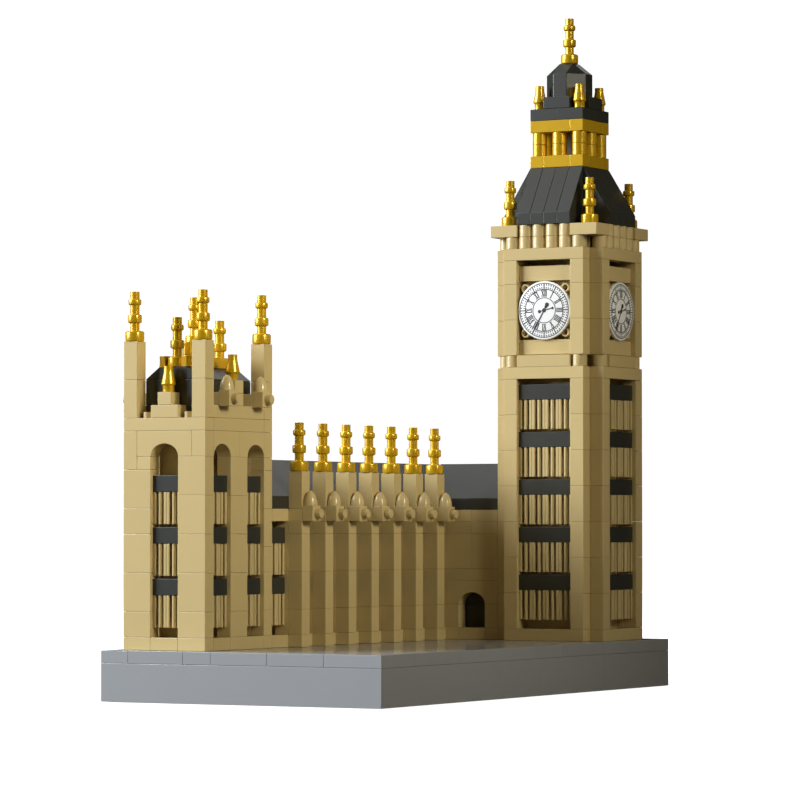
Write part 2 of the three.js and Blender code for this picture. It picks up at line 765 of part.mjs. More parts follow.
function corniceShape() {
  const half = gp(lanternHalf);
  const z = [gz(spire.step) - fit, gz(spire.cap)];
  const corner = half - pitch / 2;
  const holes = corners.map(([x, y]) => pegHole(x * corner, y * corner, gz(spire.step)));
  return solid(
    box([-half, half], [-half, half], [gz(spire.cornice) + fit, gz(spire.step)]),
    box([-half, half], [-half + pitch, half - pitch], z),
    box([-half + pitch, half - pitch], [-half, half], z),
  ).subtract(solid(...holes));
}

// An eight-sided cap: a square with its corners cut, then slopes up to a one-stud flat.
function capShape() {
  const far = gp(spire.half);
  const near = gp(spire.flat);
  const ring = [
    [near, -far],
    [far, -near],
    [far, near],
    [near, far],
    [-near, far],
    [-far, near],
    [-far, -near],
    [-near, -far],
  ];
  const depth = gz(spire.capSlope) - gz(spire.cap) - fit;
  const body = new THREE.ExtrudeGeometry(outline(ring), { depth, bevelEnabled: false });
  body.translate(0, 0, gz(spire.cap) + fit);
  const positions = [];
  const low = ring.map(([x, y]) => [x, y, gz(spire.capSlope) - fit]);
  const high = [1, 2, 3, 0].map((i) => [corners[i][0] * near, corners[i][1] * near, gz(spire.top)]);
  const triangle = (...corners) => corners.forEach((corner) => positions.push(...corner));
  for (let i = 0; i < 4; i += 1) {
    const a = low[(2 * i + 7) % 8];
    const b = low[2 * i];
    const c = low[2 * i + 1];
    const here = high[i];
    const before = high[(i + 3) % 4];
    triangle(a, b, here);
    triangle(a, here, before);
    triangle(b, c, here);
  }
  triangle(high[0], high[1], high[2]);
  triangle(high[0], high[2], high[3]);
  for (let i = 1; i < 7; i += 1) {
    triangle(low[0], low[i + 1], low[i]);
  }
  const slopes = new THREE.BufferGeometry();
  slopes.setAttribute('position', new THREE.Float32BufferAttribute(positions, 3));
  return solid(body, slopes, stud(0, 0, gz(spire.top) - fit));
}

function towerGroup() {
  const group = new THREE.Group();
  group.position.set(gx(tower.x), gy(tower.y), 0);
  group.add(piece('tower_plinth', solid(...notchedSlab([gz(deckTop) + fit, gz(plinthTop)])), tan));
  group.add(piece('tower_shaft', towerShaft(), tan));
  group.add(piece('tower_window_bars', towerWindowBars(), tan));
  group.add(piece('tower_window_bands', towerWindowBands(), slate));
  const stageZ = [gz(tower.stage) + fit, gz(towerTop.stage)];
  group.add(piece('clock_stage', cornerPiers(stageZ, gz(tower.lintel)), tan));
  group.add(piece('clock_core', clockCore(), tan));
  for (const [turn, side] of ['south', 'east', 'north', 'west'].entries()) {
    const holder = new THREE.Group();
    holder.rotation.z = (turn * Math.PI) / 2;
    const dial = piece(`dial_${side}`, dialShape(), white);
    dial.position.set(0, -towerHalf, dialCentre());
    holder.add(dial);
    group.add(holder);
  }
  group.add(piece('tower_frieze', friezeShape(), tan));
  group.add(piece('tower_roof', towerRoof(), slate));
  group.add(piece('lantern', lanternShape(), gold));
  group.add(piece('cornice', corniceShape(), slate));
  group.add(piece('cap', capShape(), slate));
  corners.forEach(([x, y], i) => {
    const tile = gp(tower.half - 1);
    const corner = gp(lanternHalf - 0.5);
    group.add(finialAt(`corner_finial_${i + 1}`, x * tile, y * tile, gz(towerTop.roof)));
    group.add(bottleAt(`cornice_bottle_${i + 1}`, x * corner, y * corner, gz(spire.step)));
  });
  group.add(finialAt('spire_finial', 0, 0, gz(spire.top)));
  return group;
}

const model = new THREE.Group();
model.add(baseGroup(), pavilionGroup(), wingGroup(), towerGroup());

export default model;
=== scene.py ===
import json
import math
import random

import bmesh
import bpy
from mathutils import Matrix, Vector


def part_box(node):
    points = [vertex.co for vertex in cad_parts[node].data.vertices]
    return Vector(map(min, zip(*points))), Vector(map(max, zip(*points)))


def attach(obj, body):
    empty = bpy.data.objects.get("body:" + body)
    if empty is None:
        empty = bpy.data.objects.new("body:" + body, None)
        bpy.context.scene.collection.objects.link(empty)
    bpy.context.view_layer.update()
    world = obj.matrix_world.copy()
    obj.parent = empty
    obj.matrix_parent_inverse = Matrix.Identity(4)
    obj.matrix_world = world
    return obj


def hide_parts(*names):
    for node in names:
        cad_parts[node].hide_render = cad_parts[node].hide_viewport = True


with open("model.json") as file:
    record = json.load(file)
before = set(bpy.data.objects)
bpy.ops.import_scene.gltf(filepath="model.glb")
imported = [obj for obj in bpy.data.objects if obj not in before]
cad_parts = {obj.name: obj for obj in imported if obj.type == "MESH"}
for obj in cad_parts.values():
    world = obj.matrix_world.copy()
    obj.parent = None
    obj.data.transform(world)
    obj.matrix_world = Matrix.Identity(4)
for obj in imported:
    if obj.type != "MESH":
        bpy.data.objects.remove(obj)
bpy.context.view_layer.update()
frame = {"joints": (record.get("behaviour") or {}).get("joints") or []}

scene = bpy.context.scene
scene.view_settings.view_transform = "Standard"
chance = random.Random(12)

# The block grid: everything is placed in studs across, studs along and courses up.
baseLow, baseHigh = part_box("base_course")
studsAcross, baseCourses = 20, 3
pitch = (baseHigh.x - baseLow.x) / studsAcross
course = (baseHigh.z - baseLow.z) / baseCourses
mm = 0.001
body = "building"
quarter = math.pi / 2


def place(x, y, z):
    return Vector((baseLow.x + x * pitch, baseLow.y + y * pitch, z * course))


view = {
    "azimuth": 29.14, "rise": 1.82, "place": (0.50581, -0.90643, 0.04355),
    "lens": 178.76, "sensor": 36.0, "nearest": 0.01,
}
cameraData = bpy.data.cameras.new("camera")
cameraData.lens = view["lens"]
cameraData.sensor_width = view["sensor"]
cameraData.clip_start = view["nearest"]
camera = bpy.data.objects.new("camera", cameraData)
camera.location = view["place"]
camera.rotation_euler = (math.radians(90 + view["rise"]), 0, math.radians(view["azimuth"]))
scene.collection.objects.link(camera)
scene.camera = camera


def aimed(light, azimuth, rise, distance, target):
    # azimuth 0 stands in front, on -Y, and grows towards +X
    turn, lift = math.radians(azimuth), math.radians(rise)
    away = Vector((math.sin(turn) * math.cos(lift), -math.cos(turn) * math.cos(lift), math.sin(lift)))
    light.location = Vector(target) + away * distance
    light.rotation_euler = (-away).to_track_quat("-Z", "Y").to_euler()


def softBox(name, power, size, azimuth, rise, distance, tint=(1, 1, 1)):
    data = bpy.data.lights.new(name, "AREA")
    data.shape = "RECTANGLE"
    data.size, data.size_y = size
    data.energy = power
    data.color = tint
    light = bpy.data.objects.new(name, data)
    scene.collection.objects.link(light)
    aimed(light, azimuth, rise, distance, (0, 0, 0.08))


def spot(name, power, tint, cone, soft, azimuth, rise, distance, target):
    data = bpy.data.lights.new(name, "SPOT")
    data.energy = power
    data.spot_size = math.radians(cone)
    data.spot_blend = 1.0
    data.shadow_soft_size = soft
    data.color = tint
    light = bpy.data.objects.new(name, data)
    scene.collection.objects.link(light)
    aimed(light, azimuth, rise, distance, target)


softBoxes = {
    "keyLight": {
        "power": 35.5, "size": (0.85, 0.8), "azimuth": -58, "rise": 20, "distance": 1.4,
        "tint": (0.97, 1.02, 1.1),
    },
    "highLeft": {"power": 1.7, "size": (1.2, 0.4), "azimuth": -82, "rise": 57, "distance": 1.1},
    "backHigh": {"power": 0.5, "size": (0.5, 0.4), "azimuth": 200, "rise": 34, "distance": 1.1},
    "rightFill": {
        "power": 0.19, "size": (0.5, 0.7), "azimuth": 96, "rise": 8, "distance": 1.2,
        "tint": (1.0, 0.84, 0.55),
    },
    "overhead": {"power": 0.12, "size": (0.12, 0.5), "azimuth": 96, "rise": 70, "distance": 0.9},
    "rimStrip": {"power": 0.15, "size": (0.03, 1.0), "azimuth": 112, "rise": 20, "distance": 0.9},
}
pavilionSpot = {
    "power": 19.5, "tint": (1.0, 0.94, 0.78), "cone": 26, "soft": 0.12,
    "azimuth": 73, "rise": 19, "distance": 0.6, "target": (-0.012, -0.046, 0.123),
}
for name, settings in softBoxes.items():
    softBox(name, **settings)
spot("pavilionSpot", **pavilionSpot)

stage = {
    "floorSize": 6.0, "floorDrop": 0.0002, "floorTone": 0.9, "floorRoughness": 0.9,
    "backdrop": 1.05, "around": 0.084, "mirrored": 0.02, "warm": (1.0, 0.86, 0.64),
}


def makeWorld():
    # white behind the object, and a dim warm room for the light that reaches it
    world = bpy.data.worlds.new("studio")
    scene.world = world
    world.use_nodes = True
    nodes, links = world.node_tree.nodes, world.node_tree.links
    nodes.clear()
    out = nodes.new("ShaderNodeOutputWorld")
    ray = nodes.new("ShaderNodeLightPath")
    last = None
    for strength, tint, path in (
        (stage["around"], stage["warm"], None),
        (stage["mirrored"], stage["warm"], "Is Glossy Ray"),
        (stage["backdrop"], (1, 1, 1), "Is Camera Ray"),
    ):
        sky = nodes.new("ShaderNodeBackground")
        sky.inputs["Strength"].default_value = strength
        sky.inputs["Color"].default_value = (*tint, 1)
        if path is None:
            last = sky.outputs[0]
            continue
        mix = nodes.new("ShaderNodeMixShader")
        links.new(ray.outputs[path], mix.inputs[0])
        links.new(last, mix.inputs[1])
        links.new(sky.outputs[0], mix.inputs[2])
        last = mix.outputs[0]
    links.new(last, out.inputs[0])


makeWorld()


def makeFloor():
    bpy.ops.object.select_all(action="DESELECT")
    bpy.ops.mesh.primitive_plane_add(size=stage["floorSize"], location=(0, 0, -stage["floorDrop"]))
    floor = bpy.context.object
    floor.name = "floor"
    pale = bpy.data.materials.new("paleFloor")
    pale.use_nodes = True
    shader = pale.node_tree.nodes["Principled BSDF"]
    shader.inputs["Base Color"].default_value = (*[stage["floorTone"]] * 3, 1)
    shader.inputs["Roughness"].default_value = stage["floorRoughness"]
    shader.inputs["Emission Color"].default_value = (1, 1, 1, 1)
    shader.inputs["Emission Strength"].default_value = 1.0
    floor.data.materials.append(pale)
    floor.visible_diffuse = False
    floor.visible_glossy = False


makeFloor()
print("stage ready")

def newGroup(name, inputs, outputs):
    group = bpy.data.node_groups.new(name, "ShaderNodeTree")
    for title, kind, value in inputs:
        socket = group.interface.new_socket(title, in_out="INPUT", socket_type=kind)
        if value is not None:
            socket.default_value = value
    for title, kind in outputs:
        group.interface.new_socket(title, in_out="OUTPUT", socket_type=kind)
    ends = group.nodes.new("NodeGroupInput"), group.nodes.new("NodeGroupOutput")
    return group, ends[0], ends[1]


def mathNode(tree, operation, first, second):
    node = tree.nodes.new("ShaderNodeMath")
    node.operation = operation
    for socket, value in ((node.inputs[0], first), (node.inputs[1], second)):
        if isinstance(value, (int, float)):
            socket.default_value = value
        else:
            tree.links.new(value, socket)
    return node.outputs[0]


def noiseNode(tree, vector, scale, detail=2.0, roughness=0.5):
    node = tree.nodes.new("ShaderNodeTexNoise")
    node.inputs["Scale"].default_value = scale
    node.inputs["Detail"].default_value = detail
    node.inputs["Roughness"].default_value = roughness
    tree.links.new(vector, node.inputs["Vector"])
    return node.outputs[0]


skin = {
    "cloudScale": 160.0, "waveScale": 420.0, "roughScale": 700.0, "speckScale": 2600.0,
    "wave": 0.8, "speck": 0.06,
}


def makeMouldedGroup():
    # moulded plastic: faint clouding, tones that differ from block to block, and a skin that isn't quite flat
    group, start, end = newGroup(
        "mouldedPlastic",
        [
            ("Vector", "NodeSocketVector", None),
            ("Tone", "NodeSocketFloat", 0.5),
            ("Colour", "NodeSocketColor", (0.5, 0.5, 0.5, 1)),
            ("Tone Spread", "NodeSocketFloat", 0.05),
            ("Clouding", "NodeSocketFloat", 0.04),
            ("Roughness", "NodeSocketFloat", 0.3),
            ("Roughness Spread", "NodeSocketFloat", 0.06),
        ],
        [("Colour", "NodeSocketColor"), ("Roughness", "NodeSocketFloat"), ("Height", "NodeSocketFloat")],
    )
    vector = start.outputs["Vector"]
    cloud = noiseNode(group, vector, skin["cloudScale"], 3.0)
    speck = noiseNode(group, vector, skin["speckScale"], 2.0)
    wave = noiseNode(group, vector, skin["waveScale"], 1.0)
    tone = mathNode(group, "SUBTRACT", start.outputs["Tone"], 0.5)
    tone = mathNode(group, "MULTIPLY", tone, start.outputs["Tone Spread"])
    clouding = mathNode(group, "SUBTRACT", cloud, 0.5)
    clouding = mathNode(group, "MULTIPLY", clouding, start.outputs["Clouding"])
    value = mathNode(group, "ADD", mathNode(group, "ADD", tone, clouding), 1.0)
    shade = group.nodes.new("ShaderNodeVectorMath")
    shade.operation = "SCALE"
    group.links.new(start.outputs["Colour"], shade.inputs[0])
    group.links.new(value, shade.inputs["Scale"])
    group.links.new(shade.outputs[0], end.inputs["Colour"])
    rough = mathNode(group, "SUBTRACT", noiseNode(group, vector, skin["roughScale"], 3.0), 0.5)
    rough = mathNode(group, "MULTIPLY", rough, start.outputs["Roughness Spread"])
    group.links.new(mathNode(group, "ADD", rough, start.outputs["Roughness"]), end.inputs["Roughness"])
    wave = mathNode(group, "MULTIPLY", wave, skin["wave"])
    speck = mathNode(group, "MULTIPLY", speck, skin["speck"])
    group.links.new(mathNode(group, "ADD", wave, speck), end.inputs["Height"])
    return group


pearl = {"stretch": 0.35, "streakScale": 420.0, "streakLow": 0.42, "streakHigh": 0.68, "flakeScale": 5200.0}


def makePearlGroup():
    # flakes in gold plastic: fine glitter, and streaks where the plastic flowed
    group, start, end = newGroup(
        "pearlFlakes",
        [
            ("Vector", "NodeSocketVector", None),
            ("Colour", "NodeSocketColor", (0.6, 0.4, 0.1, 1)),
            ("Streak Colour", "NodeSocketColor", (0.4, 0.2, 0.02, 1)),
            ("Streaks", "NodeSocketFloat", 0.35),
            ("Flake Height", "NodeSocketFloat", 0.1),
        ],
        [("Colour", "NodeSocketColor"), ("Height", "NodeSocketFloat")],
    )
    stretch = group.nodes.new("ShaderNodeMapping")
    stretch.inputs["Scale"].default_value = (1.0, 1.0, pearl["stretch"])
    group.links.new(start.outputs["Vector"], stretch.inputs["Vector"])
    streak = noiseNode(group, stretch.outputs[0], pearl["streakScale"], 4.0, 0.6)
    ramp = group.nodes.new("ShaderNodeValToRGB")
    ramp.color_ramp.elements[0].position = pearl["streakLow"]
    ramp.color_ramp.elements[1].position = pearl["streakHigh"]
    group.links.new(streak, ramp.inputs[0])
    amount = mathNode(group, "MULTIPLY", ramp.outputs[0], start.outputs["Streaks"])
    mix = group.nodes.new("ShaderNodeMix")
    mix.data_type = "RGBA"
    group.links.new(amount, mix.inputs["Factor"])
    group.links.new(start.outputs["Colour"], mix.inputs["A"])
    group.links.new(start.outputs["Streak Colour"], mix.inputs["B"])
    group.links.new(mix.outputs["Result"], end.inputs["Colour"])
    flakes = group.nodes.new("ShaderNodeTexVoronoi")
    flakes.inputs["Scale"].default_value = pearl["flakeScale"]
    group.links.new(start.outputs["Vector"], flakes.inputs["Vector"])
    height = mathNode(group, "MULTIPLY", flakes.outputs["Distance"], start.outputs["Flake Height"])
    group.links.new(height, end.inputs["Height"])
    return group


mouldedGroup = makeMouldedGroup()
pearlGroup = makePearlGroup()


plastic = {"bumpStrength": 0.6, "ior": 1.53}


def mouldedMaterial(name, settings):
    material = bpy.data.materials.new(name)
    material.use_nodes = True
    tree = material.node_tree
    shader = tree.nodes["Principled BSDF"]
    where = tree.nodes.new("ShaderNodeTexCoord")
    tone = tree.nodes.new("ShaderNodeAttribute")
    tone.attribute_name = "tone"
    mould = tree.nodes.new("ShaderNodeGroup")
    mould.node_tree = mouldedGroup
    tree.links.new(where.outputs["Object"], mould.inputs["Vector"])
    tree.links.new(tone.outputs["Fac"], mould.inputs["Tone"])
    mould.inputs["Colour"].default_value = (*settings["colour"], 1)
    mould.inputs["Tone Spread"].default_value = settings["toneSpread"]
    mould.inputs["Clouding"].default_value = settings["clouding"]
    mould.inputs["Roughness"].default_value = settings["roughness"]
    mould.inputs["Roughness Spread"].default_value = settings["roughnessSpread"]
    colour = mould.outputs["Colour"]
    height = mould.outputs["Height"]
    if "streaks" in settings:
        flakes = tree.nodes.new("ShaderNodeGroup")
        flakes.node_tree = pearlGroup
        tree.links.new(where.outputs["Object"], flakes.inputs["Vector"])
        tree.links.new(colour, flakes.inputs["Colour"])
        flakes.inputs["Streak Colour"].default_value = (*settings["streakColour"], 1)
        flakes.inputs["Streaks"].default_value = settings["streaks"]
        flakes.inputs["Flake Height"].default_value = settings["flakes"]
        colour = flakes.outputs["Colour"]
        height = mathNode(tree, "ADD", height, flakes.outputs["Height"])
    bump = tree.nodes.new("ShaderNodeBump")
    bump.inputs["Distance"].default_value = settings["bump"]
    bump.inputs["Strength"].default_value = plastic["bumpStrength"]
    tree.links.new(height, bump.inputs["Height"])
    tree.links.new(colour, shader.inputs["Base Color"])
    tree.links.new(mould.outputs["Roughness"], shader.inputs["Roughness"])
    tree.links.new(bump.outputs[0], shader.inputs["Normal"])
    shader.inputs["Metallic"].default_value = settings.get("metallic", 0.0)
    shader.inputs["IOR"].default_value = plastic["ior"]
    return material


tanPlastic = mouldedMaterial("tanPlastic", {
    "colour": (0.60, 0.465, 0.212), "toneSpread": 0.05, "clouding": 0.05,
    "roughness": 0.25, "roughnessSpread": 0.07, "bump": 0.00001,
})
slatePlastic = mouldedMaterial("slatePlastic", {
    "colour": (0.031, 0.0325, 0.0265), "toneSpread": 0.12, "clouding": 0.08,
    "roughness": 0.29, "roughnessSpread": 0.02, "bump": 0.000004,
})
goldPlastic = mouldedMaterial("goldPlastic", {
    "colour": (0.7, 0.42, 0.011), "toneSpread": 0.06, "clouding": 0.08,
    "roughness": 0.24, "roughnessSpread": 0.05, "bump": 0.000006, "metallic": 0.35,
    "streaks": 0.15, "streakColour": (0.5, 0.25, 0.01), "flakes": 0.08,
})
stonePlastic = mouldedMaterial("stonePlastic", {
    "colour": (0.35, 0.365, 0.375), "toneSpread": 0.04, "clouding": 0.04,
    "roughness": 0.15, "roughnessSpread": 0.06, "bump": 0.000008,
})
whitePlastic = mouldedMaterial("whitePlastic", {
    "colour": (0.94, 0.94, 0.92), "toneSpread": 0.0, "clouding": 0.02,
    "roughness": 0.3, "roughnessSpread": 0.05, "bump": 0.000006,
})
dialInk = mouldedMaterial("dialInk", {
    "colour": (0.012, 0.012, 0.014), "toneSpread": 0.0, "clouding": 0.05,
    "roughness": 0.45, "roughnessSpread": 0.05, "bump": 0.000004,
})
finishes = {
    "tan_block": tanPlastic, "dark_block": slatePlastic,
    "gold_block": goldPlastic, "base_block": stonePlastic,
}
print("materials ready")

# modelled shapes by name, each copied as often as it is laid
moulds = {}


def selectOnly(shapes):
    bpy.ops.object.select_all(action="DESELECT")
    for shape in shapes:
        shape.select_set(True)
    bpy.context.view_layer.objects.active = shapes[0]


def inEditMode(shape):
    selectOnly([shape])
    bpy.ops.object.mode_set(mode="EDIT")


def backToObjectMode():
    bpy.ops.object.mode_set(mode="OBJECT")


def pick(shape, kind, test):
    # selects just the verts, edges or faces that pass the test
    bpy.ops.mesh.select_mode(type={"verts": "VERT", "edges": "EDGE", "faces": "FACE"}[kind])
    bpy.ops.mesh.select_all(action="DESELECT")
    edit = bmesh.from_edit_mesh(shape.data)
    for item in getattr(edit, kind):
        if test(item):
            item.select_set(True)
    bmesh.update_edit_mesh(shape.data)


def newCube(size):
    bpy.ops.mesh.primitive_cube_add(size=1, location=(0, 0, 0))
    shape = bpy.context.object
    shape.scale = size
    selectOnly([shape])
    bpy.ops.object.transform_apply(location=False, rotation=False, scale=True)
    return shape


def newCylinder(radius, depth, sides, centre=(0, 0, 0), turn=(0, 0, 0)):
    bpy.ops.mesh.primitive_cylinder_add(
        radius=radius, depth=depth, vertices=sides, location=centre, rotation=turn
    )
    shape = bpy.context.object
    selectOnly([shape])
    bpy.ops.object.transform_apply(location=True, rotation=True, scale=False)
    return shape


def bevelAll(shape, width, segments=2, angle=35):
    bevel = shape.modifiers.new("bevel", "BEVEL")
    bevel.width = width
    bevel.segments = segments
    bevel.limit_method = "ANGLE"
    bevel.angle_limit = math.radians(angle)
    bevel.use_clamp_overlap = True
    selectOnly([shape])
    bpy.ops.object.modifier_apply(modifier="bevel")


def smoothed(shape, angle):
    selectOnly([shape])
    bpy.ops.object.shade_smooth_by_angle(angle=math.radians(angle))


def carved(shape, cutter):
    boolean = shape.modifiers.new("carve", "BOOLEAN")
    boolean.operation = "DIFFERENCE"
    boolean.solver = "EXACT"
    boolean.object = cutter
    selectOnly([shape])
    bpy.ops.object.modifier_apply(modifier="carve")
    bpy.data.objects.remove(cutter)


def keepMould(key, shape):
    # the modelled shape leaves the scene, and its mesh stays to be copied
    moulds[key] = shape.data
    bpy.data.objects.remove(shape)
    return moulds[key]


def copyOf(mesh, matrix, tray):
    data = mesh.copy()
    data.transform(matrix)
    tone = data.attributes.get("tone") or data.attributes.new("tone", "FLOAT", "POINT")
    tone.data.foreach_set("value", [chance.random()] * len(data.vertices))
    shape = bpy.data.objects.new("block", data)
    scene.collection.objects.link(shape)
    tray.append(shape)


def stamp(shape, matrix, tray):
    # a copy of a shape that is needed only here
    copyOf(shape.data, matrix, tray)
    bpy.data.objects.remove(shape)


def joined(tray):
    selectOnly(tray)
    if len(tray) > 1:
        bpy.ops.object.join()
    return bpy.context.view_layer.objects.active


def finishPiece(name, tray, nodes, slot, rides=body):
    # joins the copies into one piece that stands for its CAD nodes
    piece = joined(tray)
    piece.name = name
    piece.data.name = name
    if slot in finishes:
        piece.data.materials.clear()
        piece.data.materials.append(finishes[slot])
    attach(piece, rides)
    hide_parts(*nodes)


def turnedMould(key, profile, sides, edge, smooth):
    # a round piece made ring by ring from [radius, height] points, closed at both ends
    radius, height = profile[0]
    bpy.ops.mesh.primitive_circle_add(
        vertices=sides, radius=radius, fill_type="NGON", location=(0, 0, height)
    )
    shape = bpy.context.object
    selectOnly([shape])
    bpy.ops.object.transform_apply(location=True, rotation=False, scale=False)
    inEditMode(shape)
    bpy.ops.mesh.select_all(action="SELECT")
    for nextRadius, nextHeight in profile[1:]:
        bpy.ops.mesh.extrude_region_move(TRANSFORM_OT_translate={"value": (0, 0, nextHeight - height)})
        bpy.ops.transform.resize(value=(nextRadius / radius, nextRadius / radius, 1))
        radius, height = nextRadius, nextHeight
    bpy.ops.mesh.select_all(action="SELECT")
    bpy.ops.mesh.normals_make_consistent(inside=False)
    backToObjectMode()
    if edge:
        bevelAll(shape, edge)
    smoothed(shape, smooth)
    return keepMould(key, shape)


# the gap leaves a hair of air on every side of a block, so that seams show
block = {"edge": 0.0001, "gap": 0.00002, "segments": 2, "roundShare": 0.985, "roundSides": 28}


def newBlock(size):
    return newCube([side - 2 * block["gap"] for side in size])


def spans(marks):
    return list(zip(marks, marks[1:]))


def blockMould(size):
    key = ("block",) + tuple(round(side, 6) for side in size)
    if key not in moulds:
        shape = newBlock(size)
        inEditMode(shape)
        bpy.ops.mesh.select_all(action="SELECT")
        bpy.ops.mesh.bevel(offset=block["edge"], segments=block["segments"], affect="EDGES")
        backToObjectMode()
        keepMould(key, shape)
    return moulds[key]


def layBlock(x, y, z, tray, turn=Matrix.Identity(4)):
    # a block over ranges of studs and courses
    low, high = place(x[0], y[0], z[0]), place(x[1], y[1], z[1])
    copyOf(blockMould(high - low), turn @ Matrix.Translation((low + high) / 2), tray)


def layColumn(x, y, heights, tray, turn=Matrix.Identity(4)):
    for z in spans(heights):
        layBlock(x, y, z, tray, turn)


def aboutZ(x, y, angle):
    # a turn about the upright line through a place on the grid
    centre = place(x, y, 0)
    return Matrix.Translation(centre) @ Matrix.Rotation(angle, 4, "Z") @ Matrix.Translation(-centre)


def roundMould(diameter, height, sides):
    key = ("round", round(diameter, 6), round(height, 6), sides)
    if key not in moulds:
        shape = newCylinder(diameter / 2, height - 2 * block["gap"], sides)
        bevelAll(shape, block["edge"])
        smoothed(shape, 15)
        keepMould(key, shape)
    return moulds[key]


def layRound(x, y, z, tray, turn=Matrix.Identity(4)):
    low, high = place(x, y, z[0]), place(x, y, z[1])
    mesh = roundMould(pitch * block["roundShare"], high.z - low.z, block["roundSides"])
    copyOf(mesh, turn @ Matrix.Translation((low + high) / 2), tray)


stud = {"diameter": 2.4 * mm, "height": 1.55 * mm, "sides": 24}


def studMould():
    return roundMould(stud["diameter"], stud["height"], stud["sides"])


def layStud(x, y, z, tray):
    # an upright stud on the top face at height z
    centre = place(x, y, z) + Vector((0, 0, stud["height"] / 2))
    copyOf(studMould(), Matrix.Translation(centre), tray)


base = {
    "deckTop": 4, "courseSeams": (0, 30, 40),
    "seamsX": (0, 2, 6, 8, 12, 16, 20), "seamsY": (0, 4, 10, 14, 20, 24, 30, 34, 40),
}


def makeBase():
    lower = []
    for y in spans(base["courseSeams"]):
        layBlock((0, studsAcross), y, (0, baseCourses), lower)
    finishPiece("base_course_blocks", lower, ["base_course"], "base_block")
    deck = []
    for row, y in enumerate(spans(base["seamsY"])):
        mirrored = [studsAcross - x for x in reversed(base["seamsX"])]
        for x in spans(mirrored if row % 2 else base["seamsX"]):
            layBlock(x, y, (baseCourses, base["deckTop"]), deck)
    finishPiece("base_deck_tiles", deck, ["base_deck"], "base_block")


makeBase()
print("base ready")

window = {
    "unit": 4, "barLow": 0.76, "barHigh": 3.25, "bandLow": 3.25, "bandHigh": 4.55,
    "recess": 0.27, "bandRecess": 0.25, "bandDepth": 0.5, "flat": 0.215, "bar": 0.25, "depth": 0.14,
    "flatEdge": 0.00016, "barEdge": 0.00008, "barSides": 14, "rail": 0.2, "railBack": 0.22,
}


def grilleMould():
    # one grille block: half a flat bar at each end, a round bar in the middle, and rails behind them
    if "grille" in moulds:
        return moulds["grille"]
    height = (window["barHigh"] - window["barLow"]) * course
    flat = window["flat"] * pitch
    parts = []
    for side in (-1, 1):
        bar = newCube((flat - 2 * block["gap"], window["depth"] * pitch, height))
        bevelAll(bar, window["flatEdge"])
        stamp(bar, Matrix.Translation((side * (pitch / 2 - flat / 2), window["depth"] * pitch / 2, 0)), parts)
    rod = newCylinder(window["bar"] * pitch / 2, height, window["barSides"])
    bevelAll(rod, window["barEdge"], 1)
    smoothed(rod, 40)
    stamp(rod, Matrix.Translation((0, window["bar"] * pitch / 2, 0)), parts)
    for end in (-1, 1):
        rail = newCube((pitch, window["rail"] * pitch, window["rail"] * course))
        middle = end * (height / 2 - window["rail"] / 2 * course)
        stamp(rail, Matrix.Translation((0, (window["depth"] + window["railBack"]) * pitch, middle)), parts)
    return keepMould("grille", joined(parts))


def layWindow(x, face, sill, rows, bars, bands, turn):
    # bars and bands for a window over studs x in a wall that faces -Y at face
    for row in range(rows):
        floor = sill + row * window["unit"]
        low, high = window["barLow"] + floor, window["barHigh"] + floor
        for step in range(int(x[1] - x[0])):
            centre = place(x[0] + step + 0.5, face + window["recess"], (low + high) / 2)
            copyOf(grilleMould(), turn @ Matrix.Translation(centre), bars)
        bandZ = (window["bandLow"] + floor, window["bandHigh"] + floor)
        bandY = (face + window["bandRecess"], face + window["bandRecess"] + window["bandDepth"])
        layBlock(x, bandY, bandZ, bands, turn)


arch = {"sides": 48, "edgeAngle": 50, "smooth": 12}


def archMould(width, offset=0):
    # a brick two courses high with a round-headed opening cut up into it, offset studs off its middle
    key = ("arch", width, offset)
    if key in moulds:
        return moulds[key]
    shape = newBlock((width * pitch, pitch, 2 * course))
    head = newCylinder(pitch, 2 * pitch, arch["sides"], turn=(quarter, 0, 0))
    head.scale = (1, 1, course / pitch)
    head.location = (offset * pitch, 0, -course)
    bpy.ops.object.transform_apply(location=True, rotation=False, scale=True)
    carved(shape, head)
    bevelAll(shape, block["edge"], angle=arch["edgeAngle"])
    smoothed(shape, arch["smooth"])
    return keepMould(key, shape)


# walls of the pavilion: ranges of studs for its sides, front and back, and the seams of its columns
pavilion = {
    "sides": ((1, 2), (6, 7)), "front": (1, 2), "back": (8, 9), "plinth": (4, 5),
    "leftSeams": (5, 7, 10, 13, 15, 18), "rightSeams": (5, 7, 10, 13, 16, 19),
    "backSeams": (5, 7, 10, 12, 15, 18, 19), "backMiddleSeams": (5, 8, 11, 14, 17, 19, 21),
    "arches": (19, 21), "top": (21, 22), "coreX": (2.8, 5.2), "coreY": (2.3, 7.7), "coreSeams": (4, 13, 22),
    "roofSeams": (2, 4, 6, 8), "slopeFoot": 0.0002,
}


